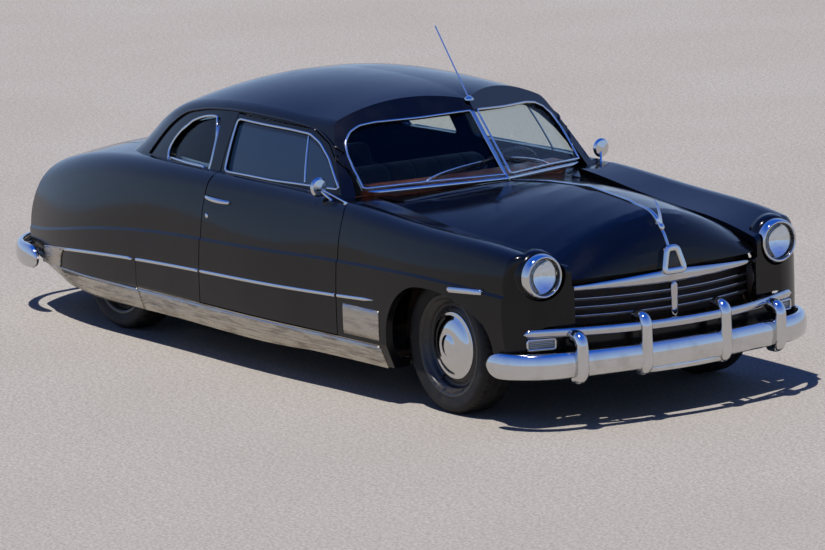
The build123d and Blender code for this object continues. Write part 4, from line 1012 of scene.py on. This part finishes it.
def dressed_wheel(place, x, y, side, body):
    """A pressed steel wheel: a turned outline with the rolled rim edge, two steps down to the disc and the
    barrel behind, a domed chrome cap with rings at its edge and round its middle, and the valve stem."""
    wheel = [(0.046, 0.001), (0.046, 0.100), (0.052, 0.150), (0.050, 0.176), (0.040, 0.192),
             (0.034, 0.204), (0.044, 0.211), (0.056, 0.214), (0.062, 0.222), (0.066, 0.231),
             (0.078, 0.236), (0.084, 0.241), (0.087, 0.249), (0.0885, 0.255), (0.086, 0.2595),
             (0.080, 0.2600), (0.060, 0.2360), (0.020, 0.2320), (-0.030, 0.2320), (-0.070, 0.2380),
             (-0.084, 0.2580), (-0.087, 0.2560), (-0.074, 0.2320), (-0.030, 0.2260), (0.020, 0.2060),
             (0.040, 0.150), (0.040, 0.001)]
    points = turned_rings((x, y, TYRE_R), wheel, axis=(0, side, 0), around=96)
    place_piece("dressed_wheel_" + place, points, outward_tube(points), WHEEL, body,
                replaces=["wheel_" + place])
    cap = [(0.044, 0.150), (0.0500, 0.170), (0.0530, 0.1715), (0.0560, 0.1700), (0.0575, 0.162),
           (0.0560, 0.152), (0.0575, 0.147), (0.0670, 0.135), (0.0755, 0.118), (0.0815, 0.098),
           (0.0845, 0.078), (0.0850, 0.066), (0.0835, 0.060), (0.0850, 0.054), (0.0900, 0.046),
           (0.0935, 0.030), (0.0950, 0.014), (0.0952, 0.001)]
    points = turned_rings((x, y, TYRE_R), cap, axis=(0, side, 0), around=96)
    place_piece("hub_cap_" + place, points, outward_tube(points), CHROME, body)
    start = np.array((x - 0.10, y + side * 0.034, TYRE_R - 0.165))
    outline = [(0.0, 0.0055), (0.032, 0.0045), (0.033, 0.0035), (0.040, 0.0035), (0.041, 0.001)]
    stem = turned_rings(start, outline, axis=(-0.25, side, -0.4), around=12)
    place_piece("valve_stem_" + place, stem, outward_tube(stem), PHENOLIC, body)


for place, x, y, side in (("front_right", FRONT_AXLE_X, -FRONT_WHEEL_Y, -1),
                          ("front_left", FRONT_AXLE_X, FRONT_WHEEL_Y, 1),
                          ("rear_right", REAR_AXLE_X, -REAR_WHEEL_Y, -1),
                          ("rear_left", REAR_AXLE_X, REAR_WHEEL_Y, 1)):
    dressed_tyre("dressed_tyre_" + place, x, y, place + "_wheel")
    dressed_wheel(place, x, y, side, place + "_wheel")


# Seats


def puffed_pad(name, corners, half_width, node, pleat):
    """A bench cushion or back: its side outline drawn round, 14 mm smaller than the space it fills, and
    carried across the car. Cloth under pressure then swells it between sewn lines that are held still."""
    outline = evenly(rounded_loop(corners, 34), 26) * MM
    centre = outline.mean(0)
    outline = outline + unit(centre - outline) * 0.014
    ys = np.linspace(-half_width + 0.012, half_width - 0.012, 61)
    ends = np.clip((half_width - 0.012 - np.abs(ys)) / 0.03, 0, 1)
    shrink = 1 - 0.12 * (1 - np.sqrt(1 - (1 - ends) ** 2))
    ring = centre + (outline - centre)[None] * shrink[:, None, None]
    points = np.stack([ring[:, :, 0], np.broadcast_to(ys[:, None], ring.shape[:2]), ring[:, :, 1]], 2)
    piece = place_piece(name, points, outward_tube(points), CLOTH, "car_body", replaces=[node])
    remesh = piece.modifiers.new("even", "REMESH")
    remesh.mode, remesh.voxel_size, remesh.use_smooth_shade = "VOXEL", 0.013, True
    apply_modifiers(piece)
    swell(piece, pleat)
    finer = piece.modifiers.new("finer", "SUBSURF")
    finer.levels = finer.render_levels = 1
    apply_modifiers(piece)
    sew(piece, pleat)


def apply_modifiers(piece):
    """Replaces the mesh by the one its modifiers make."""
    seen = bpy.context.evaluated_depsgraph_get()
    seen.update()
    mesh = bpy.data.meshes.new_from_object(piece.evaluated_get(seen))
    mesh.name = piece.name
    piece.modifiers.clear()
    piece.data = mesh
    mesh.shade_smooth()


def swell(piece, pleat, frames=14, cap=0.013):
    """Cloth with pressure 4 and no gravity for some frames; then no point keeps more than the cap of its
    move."""
    start = mesh_points(piece.data)
    near = np.abs((start[:, 1] / pleat + 0.5) % 1 - 0.5) * pleat
    held = piece.vertex_groups.new(name="sewn")
    held.add(np.flatnonzero(near < 0.007).tolist(), 1.0, "REPLACE")
    cloth = piece.modifiers.new("cloth", "CLOTH")
    settings = cloth.settings
    settings.use_pressure, settings.uniform_pressure_force = True, 4.0
    settings.vertex_group_mass = "sewn"
    settings.effector_weights.gravity = 0
    settings.quality = 4
    cloth.collision_settings.use_collision = False
    for step in range(1, frames + 1):
        bpy.context.scene.frame_set(step)
    apply_modifiers(piece)
    end = mesh_points(piece.data)
    move = end - start
    length = np.linalg.norm(move, axis=1, keepdims=True)
    end = start + move * np.minimum(1, cap / np.maximum(length, 1e-9))
    piece.data.vertices.foreach_set("co", end.ravel())
    piece.data.update()
    bpy.context.scene.frame_set(1)


def sew(piece, pleat):
    """Sinks a stitched groove 5 mm deep along each sewn line: depth times exp(-(distance / 6 mm)
    squared)."""
    place = mesh_points(piece.data)
    near = np.abs((place[:, 1] / pleat + 0.5) % 1 - 0.5) * pleat
    normal = np.empty(len(place) * 3)
    piece.data.vertex_normals.foreach_get("vector", normal)
    place = place - normal.reshape(-1, 3) * (0.005 * np.exp(-(near / 0.006) ** 2))[:, None]
    piece.data.vertices.foreach_set("co", place.ravel())
    piece.data.update()


puffed_pad("front_cushion", [(560, 300), (590, 400), (540, 440), (120, 420), (100, 290)], 0.640,
           "front_seat", 0.16)
puffed_pad("front_back", [(150, 440), (210, 470), (60, 960), (-40, 980), (-70, 940), (70, 430)], 0.640,
           "front_seat", 0.16)
puffed_pad("rear_cushion", [(-480, 400), (-460, 470), (-500, 500), (-800, 480), (-800, 380)], 0.560,
           "rear_seat", 0.14)
puffed_pad("rear_back", [(-850, 570), (-800, 600), (-940, 930), (-1010, 930), (-930, 566)], 0.560,
           "rear_seat", 0.14)


# Floor, light and camera


def make_floor():
    """A flat square of ground, 120 m across."""
    x, y = np.meshgrid(np.linspace(-60, 60, 3), np.linspace(-60, 60, 3), indexing="ij")
    mesh = bpy.data.meshes.new("ground")
    points = np.stack([x, y, 0 * x], 2).reshape(-1, 3)
    mesh.from_pydata(points.tolist(), [], [face.tolist() for face in grid_faces(3, 3, flip=True)])
    mesh.materials.append(GROUND)
    ground = bpy.data.objects.new("ground", mesh)
    bpy.context.scene.collection.objects.link(ground)


make_floor()


def make_world():
    """A plain soft sky: pale at the horizon and blue above, as the photo's paint reflects it. Reflections
    see it at full strength, and it lights dull surfaces weakly, so that the shadow stays deep."""
    world = bpy.data.worlds.new("soft_sky")
    world.use_nodes = True
    tree = world.node_tree
    tree.nodes.clear()
    up = add(tree, "ShaderNodeSeparateXYZ", {0: add(tree, "ShaderNodeTexCoord", out="Generated")}, out="Z")
    level = add(tree, "ShaderNodeMapRange", {"Value": up, "From Min": 0.0, "From Max": 0.85})
    sky = add(tree, "ShaderNodeMix", {0: level, 6: colour("#a9c2e2"), 7: colour("#1f5fd0")}, 2,
              data_type="RGBA")
    seen = add(tree, "ShaderNodeLightPath", out="Is Glossy Ray")
    strength = add(tree, "ShaderNodeMapRange", {"Value": seen, "To Min": 0.34, "To Max": 1.15})
    lit = add(tree, "ShaderNodeBackground", {"Color": sky, "Strength": strength})
    add(tree, "ShaderNodeOutputWorld", {"Surface": lit})
    bpy.context.scene.world = world


def make_sun():
    """A high sun from the viewer's side, as the short shadow and the hot spot on the hood show."""
    sun = bpy.data.lights.new("sun", "SUN")
    sun.energy, sun.angle, sun.color = 3.5, math.radians(0.8), colour("#fff6ec")[:3]
    lamp = bpy.data.objects.new("sun", sun)
    lamp.rotation_euler = Vector(SUN_DIRECTION).to_track_quat("-Z", "Y").to_euler()
    bpy.context.scene.collection.objects.link(lamp)


def make_camera():
    """The photo's camera: it looks along the fitted direction, turned about it by the fitted roll."""
    yaw, pitch, roll = (math.radians(a) for a in (CAMERA_YAW, CAMERA_PITCH, CAMERA_ROLL))
    ahead = Vector((math.cos(yaw) * math.cos(pitch), math.sin(yaw) * math.cos(pitch), math.sin(pitch)))
    level = Vector((math.sin(yaw), -math.cos(yaw), 0))
    up = level.cross(ahead)
    right = level * math.cos(roll) + up * math.sin(roll)
    top = up * math.cos(roll) - level * math.sin(roll)
    camera = bpy.data.cameras.new("photo_camera")
    camera.sensor_width, camera.lens = SENSOR, FOCAL_PIXELS * SENSOR / PHOTO_WIDTH
    camera.clip_end = 300
    holder = bpy.data.objects.new("photo_camera", camera)
    holder.matrix_world = Matrix.Translation(CAMERA_AT) @ Matrix((right, top, -ahead)).transposed().to_4x4()
    bpy.context.scene.collection.objects.link(holder)
    bpy.context.scene.camera = holder


make_world()
make_sun()
make_camera()
bpy.context.scene.view_settings.view_transform = "Standard"
